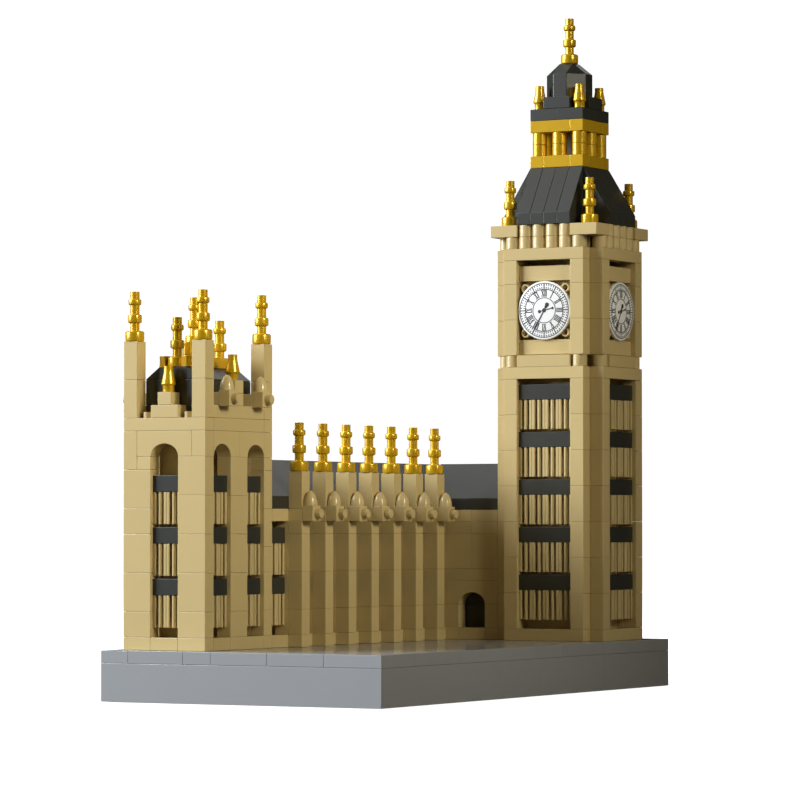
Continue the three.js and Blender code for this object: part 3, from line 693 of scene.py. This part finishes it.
def makePavilionWalls():
    walls = []
    front, back = pavilion["front"], pavilion["back"]
    for x in spans((1, 3, 5, 7)):
        layBlock(x, front, pavilion["plinth"], walls)
        layBlock(x, back, pavilion["plinth"], walls)
    for x in pavilion["sides"]:
        for y in spans((2, 4, 8)):
            layBlock(x, y, pavilion["plinth"], walls)
    # columns
    layColumn((1, 3), front, pavilion["leftSeams"], walls)
    layBlock((2, 3), front, (18, 19), walls)
    layBlock((1, 2), front, (18, 21), walls)
    layColumn((5, 7), front, pavilion["rightSeams"], walls)
    for x in pavilion["sides"]:
        layColumn(x, (4, 6), pavilion["rightSeams"], walls)
        layColumn(x, back, pavilion["backSeams"], walls)
    for x in spans((2, 4, 6)):
        layColumn(x, back, pavilion["backMiddleSeams"], walls)
    # arches, off-centre in the three-stud bricks at the sides
    copyOf(archMould(4), Matrix.Translation(place(4, 1.5, 20)), walls)
    layBlock((6, 7), front, pavilion["arches"], walls)
    for x, facing in ((6.5, 1), (1.5, -1)):
        turn = Matrix.Rotation(facing * quarter, 4, "Z")
        for y, offset in ((3.5, -0.5), (6.5, 0.5)):
            copyOf(archMould(3, offset * facing), Matrix.Translation(place(x, y, 20)) @ turn, walls)
    for x in pavilion["sides"]:
        layBlock(x, back, pavilion["arches"], walls)
    # top course, and the core that carries the roof
    for y in (front, back):
        layBlock((1, 7), y, pavilion["top"], walls)
    for x in pavilion["sides"]:
        layBlock(x, (2, 8), pavilion["top"], walls)
    layColumn(pavilion["coreX"], pavilion["coreY"], pavilion["coreSeams"], walls)
    return walls


ornament = {"drop": 0.1, "reach": 0.8, "domeOut": 0.33}


def makeSideOrnament(tray, turn, y, z, wall):
    # a block hung sideways on a wall that faces +X, its stud, and the round cap above it
    low = place(wall, y - 0.5, z - ornament["drop"])
    size = Vector((ornament["reach"] * pitch, pitch, pitch))
    centre = low + size / 2
    copyOf(blockMould(size), turn @ Matrix.Translation(centre), tray)
    end = centre + Vector((size.x / 2 + stud["height"] / 2, 0, 0))
    copyOf(studMould(), turn @ Matrix.Translation(end) @ Matrix.Rotation(quarter, 4, "Y"), tray)
    foot = (place(wall + ornament["domeOut"], y, 0).x, centre.y, low.z + size.z)
    copyOf(domeMould(), turn @ Matrix.Translation(foot), tray)


dome = {
    "radius": 1.84 * mm, "height": 3.9 * mm, "rings": 9, "tip": 0.15, "swell": 0.56,
    "sides": 28, "smooth": 50,
}


def domeMould():
    # a pointed dome: it narrows slowly at first, then closes to a rounded tip
    if "dome" in moulds:
        return moulds["dome"]
    profile = []
    for ring in range(dome["rings"] + 1):
        rise = ring / (dome["rings"] + dome["tip"])
        profile.append((dome["radius"] * (1 - rise ** 2) ** dome["swell"], dome["height"] * rise))
    return turnedMould("dome", profile, dome["sides"], 0, dome["smooth"])


def makePavilionParapet():
    parapet = []
    for x in pavilion["sides"]:
        for y in (pavilion["front"], pavilion["back"]):
            layColumn(x, y, (22, 25, 28), parapet)
        layBlock(x, (2, 8), (22, 23), parapet)
        for south in (2.5, 6.5):
            layBlock(x, (south, south + 1), (23, 24), parapet)
        layColumn(x, (4.5, 5.5), (23, 24, 25), parapet)
        turn = aboutZ(4, 5, math.pi) if x[0] == 1 else Matrix.Identity(4)
        for middle in (3, 7):
            makeSideOrnament(parapet, turn, middle, 23, 7)
    for y in (pavilion["front"], pavilion["back"]):
        layBlock((3, 5), y, (22, 23), parapet)
        layBlock((3.5, 4.5), y, (23, 24), parapet)
        for x in (2.5, 5.5):
            layStud(x, y[0] + 0.5, 22, parapet)
    return parapet


def slopeMould(key, size, drop):
    # a block whose top edge on the -Y side is lowered by drop
    if key in moulds:
        return moulds[key]
    shape = newBlock(size)
    inEditMode(shape)
    pick(shape, "verts", lambda vert: vert.co.z > 0 and vert.co.y < 0)
    bpy.ops.transform.translate(value=(0, 0, -drop))
    backToObjectMode()
    bevelAll(shape, block["edge"], angle=12)
    return keepMould(key, shape)


def makePavilionRoof():
    roof = []
    for y in spans(pavilion["roofSeams"]):
        layBlock((2, 6), y, (22, 23), roof)
        layBlock((2, 6), y, (23, 25), roof)
        layBlock((3, 5), y, (25, 26), roof)
        size = ((y[1] - y[0]) * pitch, pitch, course)
        slope = slopeMould("pavilionSlope", size, course - pavilion["slopeFoot"])
        for x, facing in ((2.5, -1), (5.5, 1)):
            turn = Matrix.Rotation(facing * quarter, 4, "Z")
            copyOf(slope, Matrix.Translation(place(x, (y[0] + y[1]) / 2, 25.5)) @ turn, roof)
    return roof


def makeCrest():
    crest = []
    for y in (4, 5, 6):
        for z in spans((26, 27, 28)):
            layRound(4, y, z, crest)
    for x in ((3, 3.4), (4.6, 5)):
        for y in spans((2, 5, 8)):
            layBlock(x, y, (26, 26.85), crest)
    layBlock((3.5, 4.5), (3.1, 6.9), (26, 26.3), crest)
    return crest


def makePavilion():
    bars, bands = [], []
    layWindow((3, 5), 1, 5, 3, bars, bands, Matrix.Identity(4))
    for angle in (quarter, -quarter):
        for x in ((1, 3), (5, 7)):
            layWindow(x, 2, 5, 3, bars, bands, aboutZ(4, 5, angle))
    finishPiece("pavilion_wall_blocks", makePavilionWalls(), ["pavilion_walls"], "tan_block")
    finishPiece("pavilion_window_grilles", bars, ["pavilion_window_bars"], "tan_block")
    finishPiece("pavilion_window_slates", bands, ["pavilion_window_bands"], "dark_block")
    finishPiece("pavilion_parapet_blocks", makePavilionParapet(), ["pavilion_parapet"], "tan_block")
    finishPiece("pavilion_roof_blocks", makePavilionRoof(), ["pavilion_roof"], "dark_block")
    finishPiece("pavilion_crest_blocks", makeCrest(), ["pavilion_crest"], "gold_block")


makePavilion()
print("pavilion ready")

# the wing: its long walls face out from its centre line, and its windows are turned about middle
wing = {
    "sides": ((1, 2), (6, 7)), "low": 9, "high": 38, "brick": 3, "middle": 23.5, "out": 3,
    "seams": (5, 7, 10, 13, 14), "endSeams": (4, 5, 7, 10, 13, 15), "coreX": (2.4, 5.6),
    "buttresses": 7, "buttressSeams": (4, 5, 7, 10, 13, 14, 15, 18), "ridgeSeams": (9, 19, 29, 38),
}
bays = [wing["low"] + wing["brick"] * bay for bay in range(8)]
# painted shade: a dark slate panel set just inside the doorway stands for the unlit inside of the door bay,
# not for a door
door = {"shadePanelX": (7.9, 10.1), "shadePanelY": (33.05, 33.6), "shadePanelSeams": (5, 7, 8.6)}


def makeWingWalls():
    walls = []
    for x in wing["sides"]:
        for low in range(wing["low"], wing["high"], wing["brick"]):
            high = min(low + wing["brick"], wing["high"])
            layBlock(x, (low, high), (4, 5), walls)
            layBlock(x, (low, high), (14, 15), walls)
        for bay in bays:
            layColumn(x, (bay + 2, bay + 3), wing["seams"], walls)
        layColumn(x, (33, 36), wing["seams"], walls)
        layColumn(x, (36, 38), wing["seams"], walls)
    for x in spans((2, 4, 6)):
        layColumn(x, (37, 38), wing["endSeams"], walls)
        layColumn(x, (9, 10), (4, 7, 10, 13, 15), walls)
    for y in spans((11, 16, 21, 26, 31, 36)):
        layBlock(wing["coreX"], y, (4, 15), walls)
    return walls


def makeDoorBay():
    walls = []
    front, back = (32, 33), (37, 38)
    copyOf(archMould(4), Matrix.Translation(place(9, 32.5, 8)), walls)
    for x in ((7, 8), (10, 11)):
        layColumn(x, front, (4, 5, 7), walls)
    layBlock((8, 10), front, (4, 5), walls)
    layBlock((7, 11), front, (9, 10), walls)
    for x in spans((7, 9, 11)):
        layColumn(x, front, (10, 13, 14, 15), walls)
        layColumn(x, back, (4, 7, 10, 13, 15), walls)
    return walls


def makeWingRoof():
    # two long slopes along the wing, and a pair across the door bay
    roof = []
    for x, facing in ((5.5, 1), (2.5, -1)):
        turn = Matrix.Rotation(facing * quarter, 4, "Z")
        for low, high in spans(wing["ridgeSeams"]):
            size = ((high - low) * pitch, 3 * pitch, 4 * course)
            slope = slopeMould(f"wingSlope{high - low}", size, 3 * course)
            copyOf(slope, Matrix.Translation(place(x, (low + high) / 2, 17)) @ turn, roof)
    slope = slopeMould("crossSlope", (6 * pitch, 3 * pitch, 4 * course), 3 * course)
    for y, facing in ((33.5, 0), (36.5, 2)):
        turn = Matrix.Rotation(facing * quarter, 4, "Z")
        copyOf(slope, Matrix.Translation(place(8, y, 17)) @ turn, roof)
    return roof


def makeWing():
    bars, bands = [], []
    middle = wing["middle"]
    for angle in (quarter, -quarter):
        turn = aboutZ(4, middle, angle)
        for bay in bays:
            along = bay if angle > 0 else 2 * middle - bay - 2
            start = along - middle + 4
            layWindow((start, start + 2), middle - wing["out"], 5, 2, bars, bands, turn)
    finishPiece("wing_wall_blocks", makeWingWalls(), ["wing_walls"], "tan_block")
    finishPiece("wing_window_grilles", bars, ["wing_window_bars"], "tan_block")
    finishPiece("wing_window_slates", bands, ["wing_window_bands"], "dark_block")
    finishPiece("door_bay_blocks", makeDoorBay(), ["door_bay"], "tan_block")
    # the dark slate panel behind the doorway is painted shade for the dark inside of the bay
    shadePanel = []
    layColumn(door["shadePanelX"], door["shadePanelY"], door["shadePanelSeams"], shadePanel)
    finishPiece("door_leaf", shadePanel, ["door_bay"], "dark_block")
    finishPiece("wing_roof_slopes", makeWingRoof(), ["wing_roof"], "dark_block")
    for number, bay in enumerate(bays[:wing["buttresses"]], 1):
        south = bay + 2
        shaft = []
        layColumn((7, 8), (south, south + 1), wing["buttressSeams"], shaft)
        layStud(7.5, south + 0.5, 18, shaft)
        makeSideOrnament(shaft, Matrix.Identity(4), south + 0.5, 14.1, 8)
        name = f"buttress_{number}"
        finishPiece(name + "_blocks", shaft, [name], "tan_block")


makeWing()
print("wing ready")

towerX, towerY = 15, 35
# the tower's walls as they stand on the -Y side; each is laid four times around the middle
tower = {
    "wall": (31, 32), "ends": ((12, 13), (17, 18)), "notchX": (12, 13), "notchY": (32, 33),
    "seams": (5, 8, 11, 14, 17, 20, 23, 26), "clockSeams": (28, 31, 34, 36),
    "coreX": (12.45, 17.55), "coreY": (32.45, 37.55), "coreSeams": (4, 16, 27),
    "rounds": (13.5, 14.5, 15.5, 16.5),
}


def fourSides():
    return [aboutZ(towerX, towerY, step * quarter) for step in range(4)]


def makeTowerBody():
    plinth, shaft, bars, bands = [], [], [], []
    wall, notch = tower["wall"], (tower["notchX"], tower["notchY"])
    for turn in fourSides():
        layBlock((12, 18), wall, (4, 5), plinth, turn)
        layBlock(*notch, (4, 5), plinth, turn)
        for x in tower["ends"]:
            layColumn(x, wall, tower["seams"], shaft, turn)
            layRound(sum(x) / 2, 31.5, (27, 28), shaft, turn)
        layColumn(*notch, tower["seams"], shaft, turn)
        layBlock((12, 18), wall, (26, 27), shaft, turn)
        layBlock((13, 17), wall, (27, 28), shaft, turn)
        layBlock((12.6, 17), (32.1, 33), (26, 28), shaft, turn)
        layWindow((13, 17), wall[0], 5, 5, bars, bands, turn)
    layColumn(tower["coreX"], tower["coreY"], tower["coreSeams"], shaft)
    finishPiece("tower_plinth_blocks", plinth, ["tower_plinth"], "tan_block")
    finishPiece("tower_shaft_blocks", shaft, ["tower_shaft"], "tan_block")
    finishPiece("tower_window_grilles", bars, ["tower_window_bars"], "tan_block")
    finishPiece("tower_window_slates", bands, ["tower_window_bands"], "dark_block")


makeTowerBody()


ringStud = {"height": 2.5 * mm, "wall": 0.42 * mm, "hollow": 0.8, "edge": 0.00006, "sides": 28}


def ringStudMould():
    # a hollow stud: a tube with a floor
    if "ringStud" in moulds:
        return moulds["ringStud"]
    shape = newCylinder(stud["diameter"] / 2, ringStud["height"], ringStud["sides"])
    inEditMode(shape)
    pick(shape, "faces", lambda face: face.normal.z > 0.9)
    bpy.ops.mesh.inset(thickness=ringStud["wall"])
    depth = ringStud["height"] * ringStud["hollow"]
    bpy.ops.mesh.extrude_region_move(TRANSFORM_OT_translate={"value": (0, 0, -depth)})
    backToObjectMode()
    bevelAll(shape, ringStud["edge"])
    smoothed(shape, 35)
    return keepMould("ringStud", shape)


clock = {
    "centre": 31.75, "radius": 1.97, "panel": 31.36, "panelBack": 31.95, "plate": 31.92, "plateBack": 32.4,
    "upperPanel": (34.25, 35.53), "lowerPanel": (28.05, 29.3), "opening": (29.3, 34.25),
    "studsX": (13.5, 16.5), "studsZ": (29.87, 33.63), "dialFace": 31.14,
}


def makeClockStage():
    frames, core = [], []
    wall, notch = tower["wall"], (tower["notchX"], tower["notchY"])
    for turn in fourSides():
        for x in tower["ends"]:
            layColumn(x, wall, tower["clockSeams"], frames, turn)
        layColumn(*notch, tower["clockSeams"], frames, turn)
        layBlock((12, 18), wall, (36, 37), frames, turn)
        layBlock(*notch, (36, 37), frames, turn)
        # panels over and under the dial, and the wall behind it
        for z in (clock["upperPanel"], clock["lowerPanel"]):
            layBlock((13, 17), (clock["panel"], clock["panelBack"]), z, core, turn)
        for x in spans((13, 15, 17)):
            layBlock(x, (clock["plate"], clock["plateBack"]), clock["opening"], core, turn)
        for x in clock["studsX"]:
            for z in clock["studsZ"]:
                centre = place(x, clock["plate"], z) + Vector((0, -ringStud["height"] / 2, 0))
                upright = Matrix.Translation(centre) @ Matrix.Rotation(quarter, 4, "X")
                copyOf(ringStudMould(), turn @ upright, core)
    layBlock((13, 17), (33, 37), (28, 37), core)
    finishPiece("clock_stage_blocks", frames, ["clock_stage"], "tan_block")
    finishPiece("clock_core_blocks", core, ["clock_core"], "tan_block")


makeClockStage()

# the dial's print, in shares of its radius
dial = {
    "minuteOut": 0.925, "minuteIn": 0.72, "numeralOut": 0.69, "numeralIn": 0.48, "innerRing": 0.43,
    "line": 0.026, "minuteMark": 0.034, "hourMark": 0.035, "hour": 2, "minute": 35,
    "ink": 0.00003, "handInk": 0.00009, "ringSides": 96, "depth": 1.0 * mm, "edge": 0.00014,
    "plugRadius": 3.0 * mm, "plugDepth": 1.6 * mm,
}
hands = {
    "hour": {
        "length": 0.36, "tail": 0.2, "width": 0.035, "discs": ((0.045, 0.33), (0.06, -0.18), (0.075, 0)),
    },
    "minute": {"length": 0.86, "tail": 0.28, "width": 0.045, "discs": ((0.075, -0.22), (0.05, -0.13))},
    "discInk": 0.000102, "discSides": 20,
}
dialRadius = clock["radius"] * pitch


def flatBar(start, end, width, height, tray):
    # a thin inked stroke between two points of the dial's face
    start, end = Vector(start), Vector(end)
    along = end - start
    bar = newCube((width * dialRadius, along.length * dialRadius, height))
    turn = Matrix.Rotation(math.atan2(-along.x, along.y), 4, "Z")
    middle = (start + end) / 2 * dialRadius
    stamp(bar, Matrix.Translation((middle.x, middle.y, 0)) @ turn, tray)


def inkRing(radius, tray):
    # a thin inked ring on the dial's face
    half = dial["line"] / 2
    shape = newCylinder((radius + half) * dialRadius, dial["ink"], dial["ringSides"])
    hole = newCylinder((radius - half) * dialRadius, dial["ink"] * 4, dial["ringSides"])
    carved(shape, hole)
    stamp(shape, Matrix.Identity(4), tray)


def polar(radius, turns):
    # turns run clockwise from the top
    angle = turns * 2 * math.pi
    return radius * math.sin(angle), radius * math.cos(angle)


numerals = ["XII", "I", "II", "III", "IIII", "V", "VI", "VII", "VIII", "IX", "X", "XI"]
stroke = {"thick": 0.034, "thin": 0.017, "slant": 0.36, "I": 0.052, "V": 0.105, "X": 0.115}


def inkNumeral(hour, tray):
    # strokes for I, V and X, standing on the inner ring with their feet towards the middle
    text = numerals[hour % 12]
    total = sum(stroke[letter] for letter in text)
    inner, outer = dial["numeralIn"], dial["numeralOut"]
    outward = Vector(polar(1, hour / 12))
    sideways = Vector(polar(1, hour / 12 + 0.25))

    def bar(footSide, foot, headSide, head, weight):
        start = outward * foot + sideways * footSide
        end = outward * head + sideways * headSide
        flatBar(start, end, stroke[weight], dial["ink"], tray)

    offset = -total / 2
    for letter in text:
        width = stroke[letter]
        middle = offset + width / 2
        reach = width * stroke["slant"]
        if letter == "I":
            bar(middle, inner, middle, outer, "thick")
        elif letter == "V":
            bar(middle, inner, middle - reach, outer, "thick")
            bar(middle, inner, middle + reach, outer, "thin")
        else:
            bar(middle + reach, inner, middle - reach, outer, "thick")
            bar(middle - reach, inner, middle + reach, outer, "thin")
        offset += width
    for radius in (inner, outer):
        bar(-total / 2, radius, total / 2, radius, "thin")


def inkHand(turns, hand, tray):
    # a flat hand with discs along it, each given by its size and its place
    ends = polar(-hand["tail"], turns), polar(hand["length"], turns)
    flatBar(*ends, hand["width"], dial["handInk"], tray)
    for radius, reach in hand["discs"]:
        disc = newCylinder(radius * dialRadius, hands["discInk"], hands["discSides"])
        centre = Vector(polar(reach, turns)) * dialRadius
        stamp(disc, Matrix.Translation((centre.x, centre.y, 0)), tray)


def dialPrint():
    tray = []
    for ring in ("minuteOut", "minuteIn", "innerRing"):
        inkRing(dial[ring], tray)
    # the minute track: two rows of marks, crossed by a longer one at each hour
    row = (dial["minuteOut"] - dial["minuteIn"]) / 2
    for minute in range(60):
        for step in range(2):
            outer = dial["minuteOut"] - step * row - row / 4
            ends = polar(outer - row / 2, minute / 60), polar(outer, minute / 60)
            flatBar(*ends, dial["minuteMark"], dial["ink"], tray)
    for hour in range(12):
        ends = polar(dial["minuteIn"], hour / 12), polar(dial["minuteOut"], hour / 12)
        flatBar(*ends, dial["hourMark"], dial["ink"], tray)
        inkNumeral(hour, tray)
    minuteTurns = dial["minute"] / 60
    inkHand((dial["hour"] + minuteTurns) / 12, hands["hour"], tray)
    inkHand(minuteTurns, hands["minute"], tray)
    return keepMould("dialPrint", joined(tray))


def dialMould():
    # a round plate with a plug behind it that sits in the wall
    shape = newCylinder(dialRadius, dial["depth"], dial["ringSides"], (0, 0, -dial["depth"] / 2))
    inEditMode(shape)
    pick(shape, "faces", lambda face: face.normal.z < -0.9)
    bpy.ops.mesh.inset(thickness=dialRadius - dial["plugRadius"])
    bpy.ops.mesh.extrude_region_move(TRANSFORM_OT_translate={"value": (0, 0, -dial["plugDepth"])})
    backToObjectMode()
    bevelAll(shape, dial["edge"], 3)
    smoothed(shape, 35)
    return keepMould("dialDisc", shape)


def makeDials():
    disc, ink = dialMould(), dialPrint()
    face = place(towerX, clock["dialFace"], clock["centre"])
    for turn, side in zip(fourSides(), ("south", "east", "north", "west")):
        upright = turn @ Matrix.Translation(face) @ Matrix.Rotation(quarter, 4, "X")
        tray = []
        copyOf(disc, upright, tray)
        copyOf(ink, upright @ Matrix.Translation((0, 0, dial["ink"] / 2)), tray)
        for shape in tray:
            shape.data.materials.append(whitePlastic)
            shape.data.materials.append(dialInk)
        for polygon in tray[1].data.polygons:
            polygon.material_index = 1
        finishPiece(f"dial_{side}_plate", tray, [f"dial_{side}"], "dial_plate")


makeDials()
print("clock ready")


def makeFrieze():
    frieze = []
    for turn in fourSides():
        for x in tower["rounds"]:
            for z in spans((37, 38, 39)):
                layRound(x, 31.5, z, frieze, turn)
        for x in (12.5, 17.5):
            layRound(x, 31.5, (37, 38), frieze, turn)
        layBlock((11, 13), (31, 33), (38, 39), frieze, turn)
        layStud(12, 32, 39, frieze)
        layBlock((12.1, 17.9), (32.1, 32.9), (37, 38), frieze, turn)
        layBlock((13, 17), (32.1, 33), (38, 39), frieze, turn)
    layBlock((12.5, 17.5), (32.5, 37.5), (37, 39), frieze)
    finishPiece("tower_frieze_blocks", frieze, ["tower_frieze"], "tan_block")


def makeTowerRoof():
    roof = []
    slope = slopeMould("towerSlope", (pitch, 2 * pitch, 5 * course), 4 * course)
    for turn in fourSides():
        for x in tower["rounds"]:
            copyOf(slope, turn @ Matrix.Translation(place(x, 32, 41.5)), roof)
    for x in spans((13, 15, 17)):
        layColumn(x, (33, 37), (39, 42, 44), roof)
    finishPiece("tower_roof_slopes", roof, ["tower_roof"], "dark_block")


def makeLantern():
    # two bands with round columns between them, and a plain core behind
    lantern = []
    side = (33, 34)
    for turn in fourSides():
        layBlock((13, 14), side, (44, 45), lantern, turn)
        layBlock((14, 16), side, (44, 45), lantern, turn)
        for x in (13.5, 15):
            for z in spans((45, 46, 47)):
                layRound(x, 33.5, z, lantern, turn)
        layBlock((13, 16), side, (47, 48), lantern, turn)
    for z in ((44, 45), (47, 48)):
        layBlock((14, 16), (34, 36), z, lantern)
    finishPiece("lantern_blocks", lantern, ["lantern"], "gold_block")
    core = []
    layColumn((14.5, 15.5), (34.5, 35.5), (45, 46, 47), core)
    finishPiece("lantern_core", core, ["lantern"], "base_block")


def makeCornice():
    cornice = []
    for x in spans((13, 15, 17)):
        for y in spans((33, 35, 37)):
            layBlock(x, y, (48, 49), cornice)
    layBlock((14, 16), (33, 37), (49, 50), cornice)
    for x in ((13, 14), (16, 17)):
        layBlock(x, (34, 36), (49, 50), cornice)
    finishPiece("cornice_blocks", cornice, ["cornice"], "dark_block")


capShape = {"foot": 50, "width": 3, "height": 3, "shoulder": 0.5, "spread": 1.5}


def makeCap():
    # an eight-sided drum that slopes in to a square top, cut from one block
    width, height = capShape["width"], capShape["height"]
    shape = newBlock((width * pitch, width * pitch, height * course))
    inEditMode(shape)
    pick(shape, "edges", lambda edge: abs(edge.verts[0].co.z - edge.verts[1].co.z) > course)
    bpy.ops.mesh.bevel(offset=pitch, segments=1, affect="EDGES")
    bpy.ops.mesh.select_all(action="SELECT")
    bpy.ops.mesh.bisect(plane_co=(0, 0, capShape["shoulder"] * course), plane_no=(0, 0, 1))
    nearTop = 0.9 * height / 2 * course
    pick(shape, "verts", lambda vert: vert.co.z > nearTop)
    bpy.ops.transform.resize(value=(1 / width, 1 / width, 1))
    # the top's eight corners meet two by two, and spread to a square one stud wide
    for x in (-1, 1):
        for y in (-1, 1):
            pick(shape, "verts", lambda vert: vert.co.z > nearTop and vert.co.x * x > 0 and vert.co.y * y > 0)
            bpy.ops.mesh.merge(type="CENTER")
    pick(shape, "verts", lambda vert: vert.co.z > nearTop)
    bpy.ops.transform.resize(value=(capShape["spread"], capShape["spread"], 1))
    backToObjectMode()
    bevelAll(shape, block["edge"], angle=12)
    cap = []
    foot = capShape["foot"]
    copyOf(keepMould("cap", shape), Matrix.Translation(place(towerX, towerY, foot + height / 2)), cap)
    layStud(towerX, towerY, foot + height, cap)
    finishPiece("cap_block", cap, ["cap"], "dark_block")


makeFrieze()
makeTowerRoof()
makeLantern()
makeCornice()
makeCap()
print("tower ready")

# outlines of the turning pieces from the foot up, in mm: radius and height
finialOutline = (
    (1.3, 0), (2.3, 0), (2.35, 0.35), (2.35, 2.2), (2.05, 2.5), (1.16, 2.6), (1.15, 4.45), (1.7, 4.7),
    (1.75, 5.1), (1.75, 6.2), (1.7, 6.5), (1.15, 6.7), (1.15, 8.95), (1.55, 9.15), (1.6, 9.45),
    (1.6, 10.1), (1.55, 10.35), (1.15, 10.55), (1.15, 12.34),
)
bottleOutline = (
    (0.75, -1.25), (0.75, 0), (1.45, 0), (1.45, 1.55), (1.8, 1.85), (1.8, 2.1), (1.68, 2.7), (1.5, 3.6),
    (1.28, 4.6), (1.17, 5.3), (1.17, 6.4),
)
turned = {"sides": 32, "edge": 0.00008, "smooth": 15, "lift": 0.00005}


def makeTurningPieces():
    shapes = []
    for key, outline in (("finial", finialOutline), ("bottle", bottleOutline)):
        points = [(radius * mm, height * mm) for radius, height in outline]
        shapes.append(turnedMould(key, points, turned["sides"], turned["edge"], turned["smooth"]))
    for joint in frame["joints"]:
        node = joint["name"].removesuffix("_turn")
        mesh = shapes[1] if "bottle" in node else shapes[0]
        foot = Vector(joint["pos_m"]) + Vector((0, 0, turned["lift"]))
        tray = []
        copyOf(mesh, Matrix.Translation(foot), tray)
        finishPiece(node + "_turned", tray, [node], "gold_block", joint["child"])


makeTurningPieces()
print("finials ready")
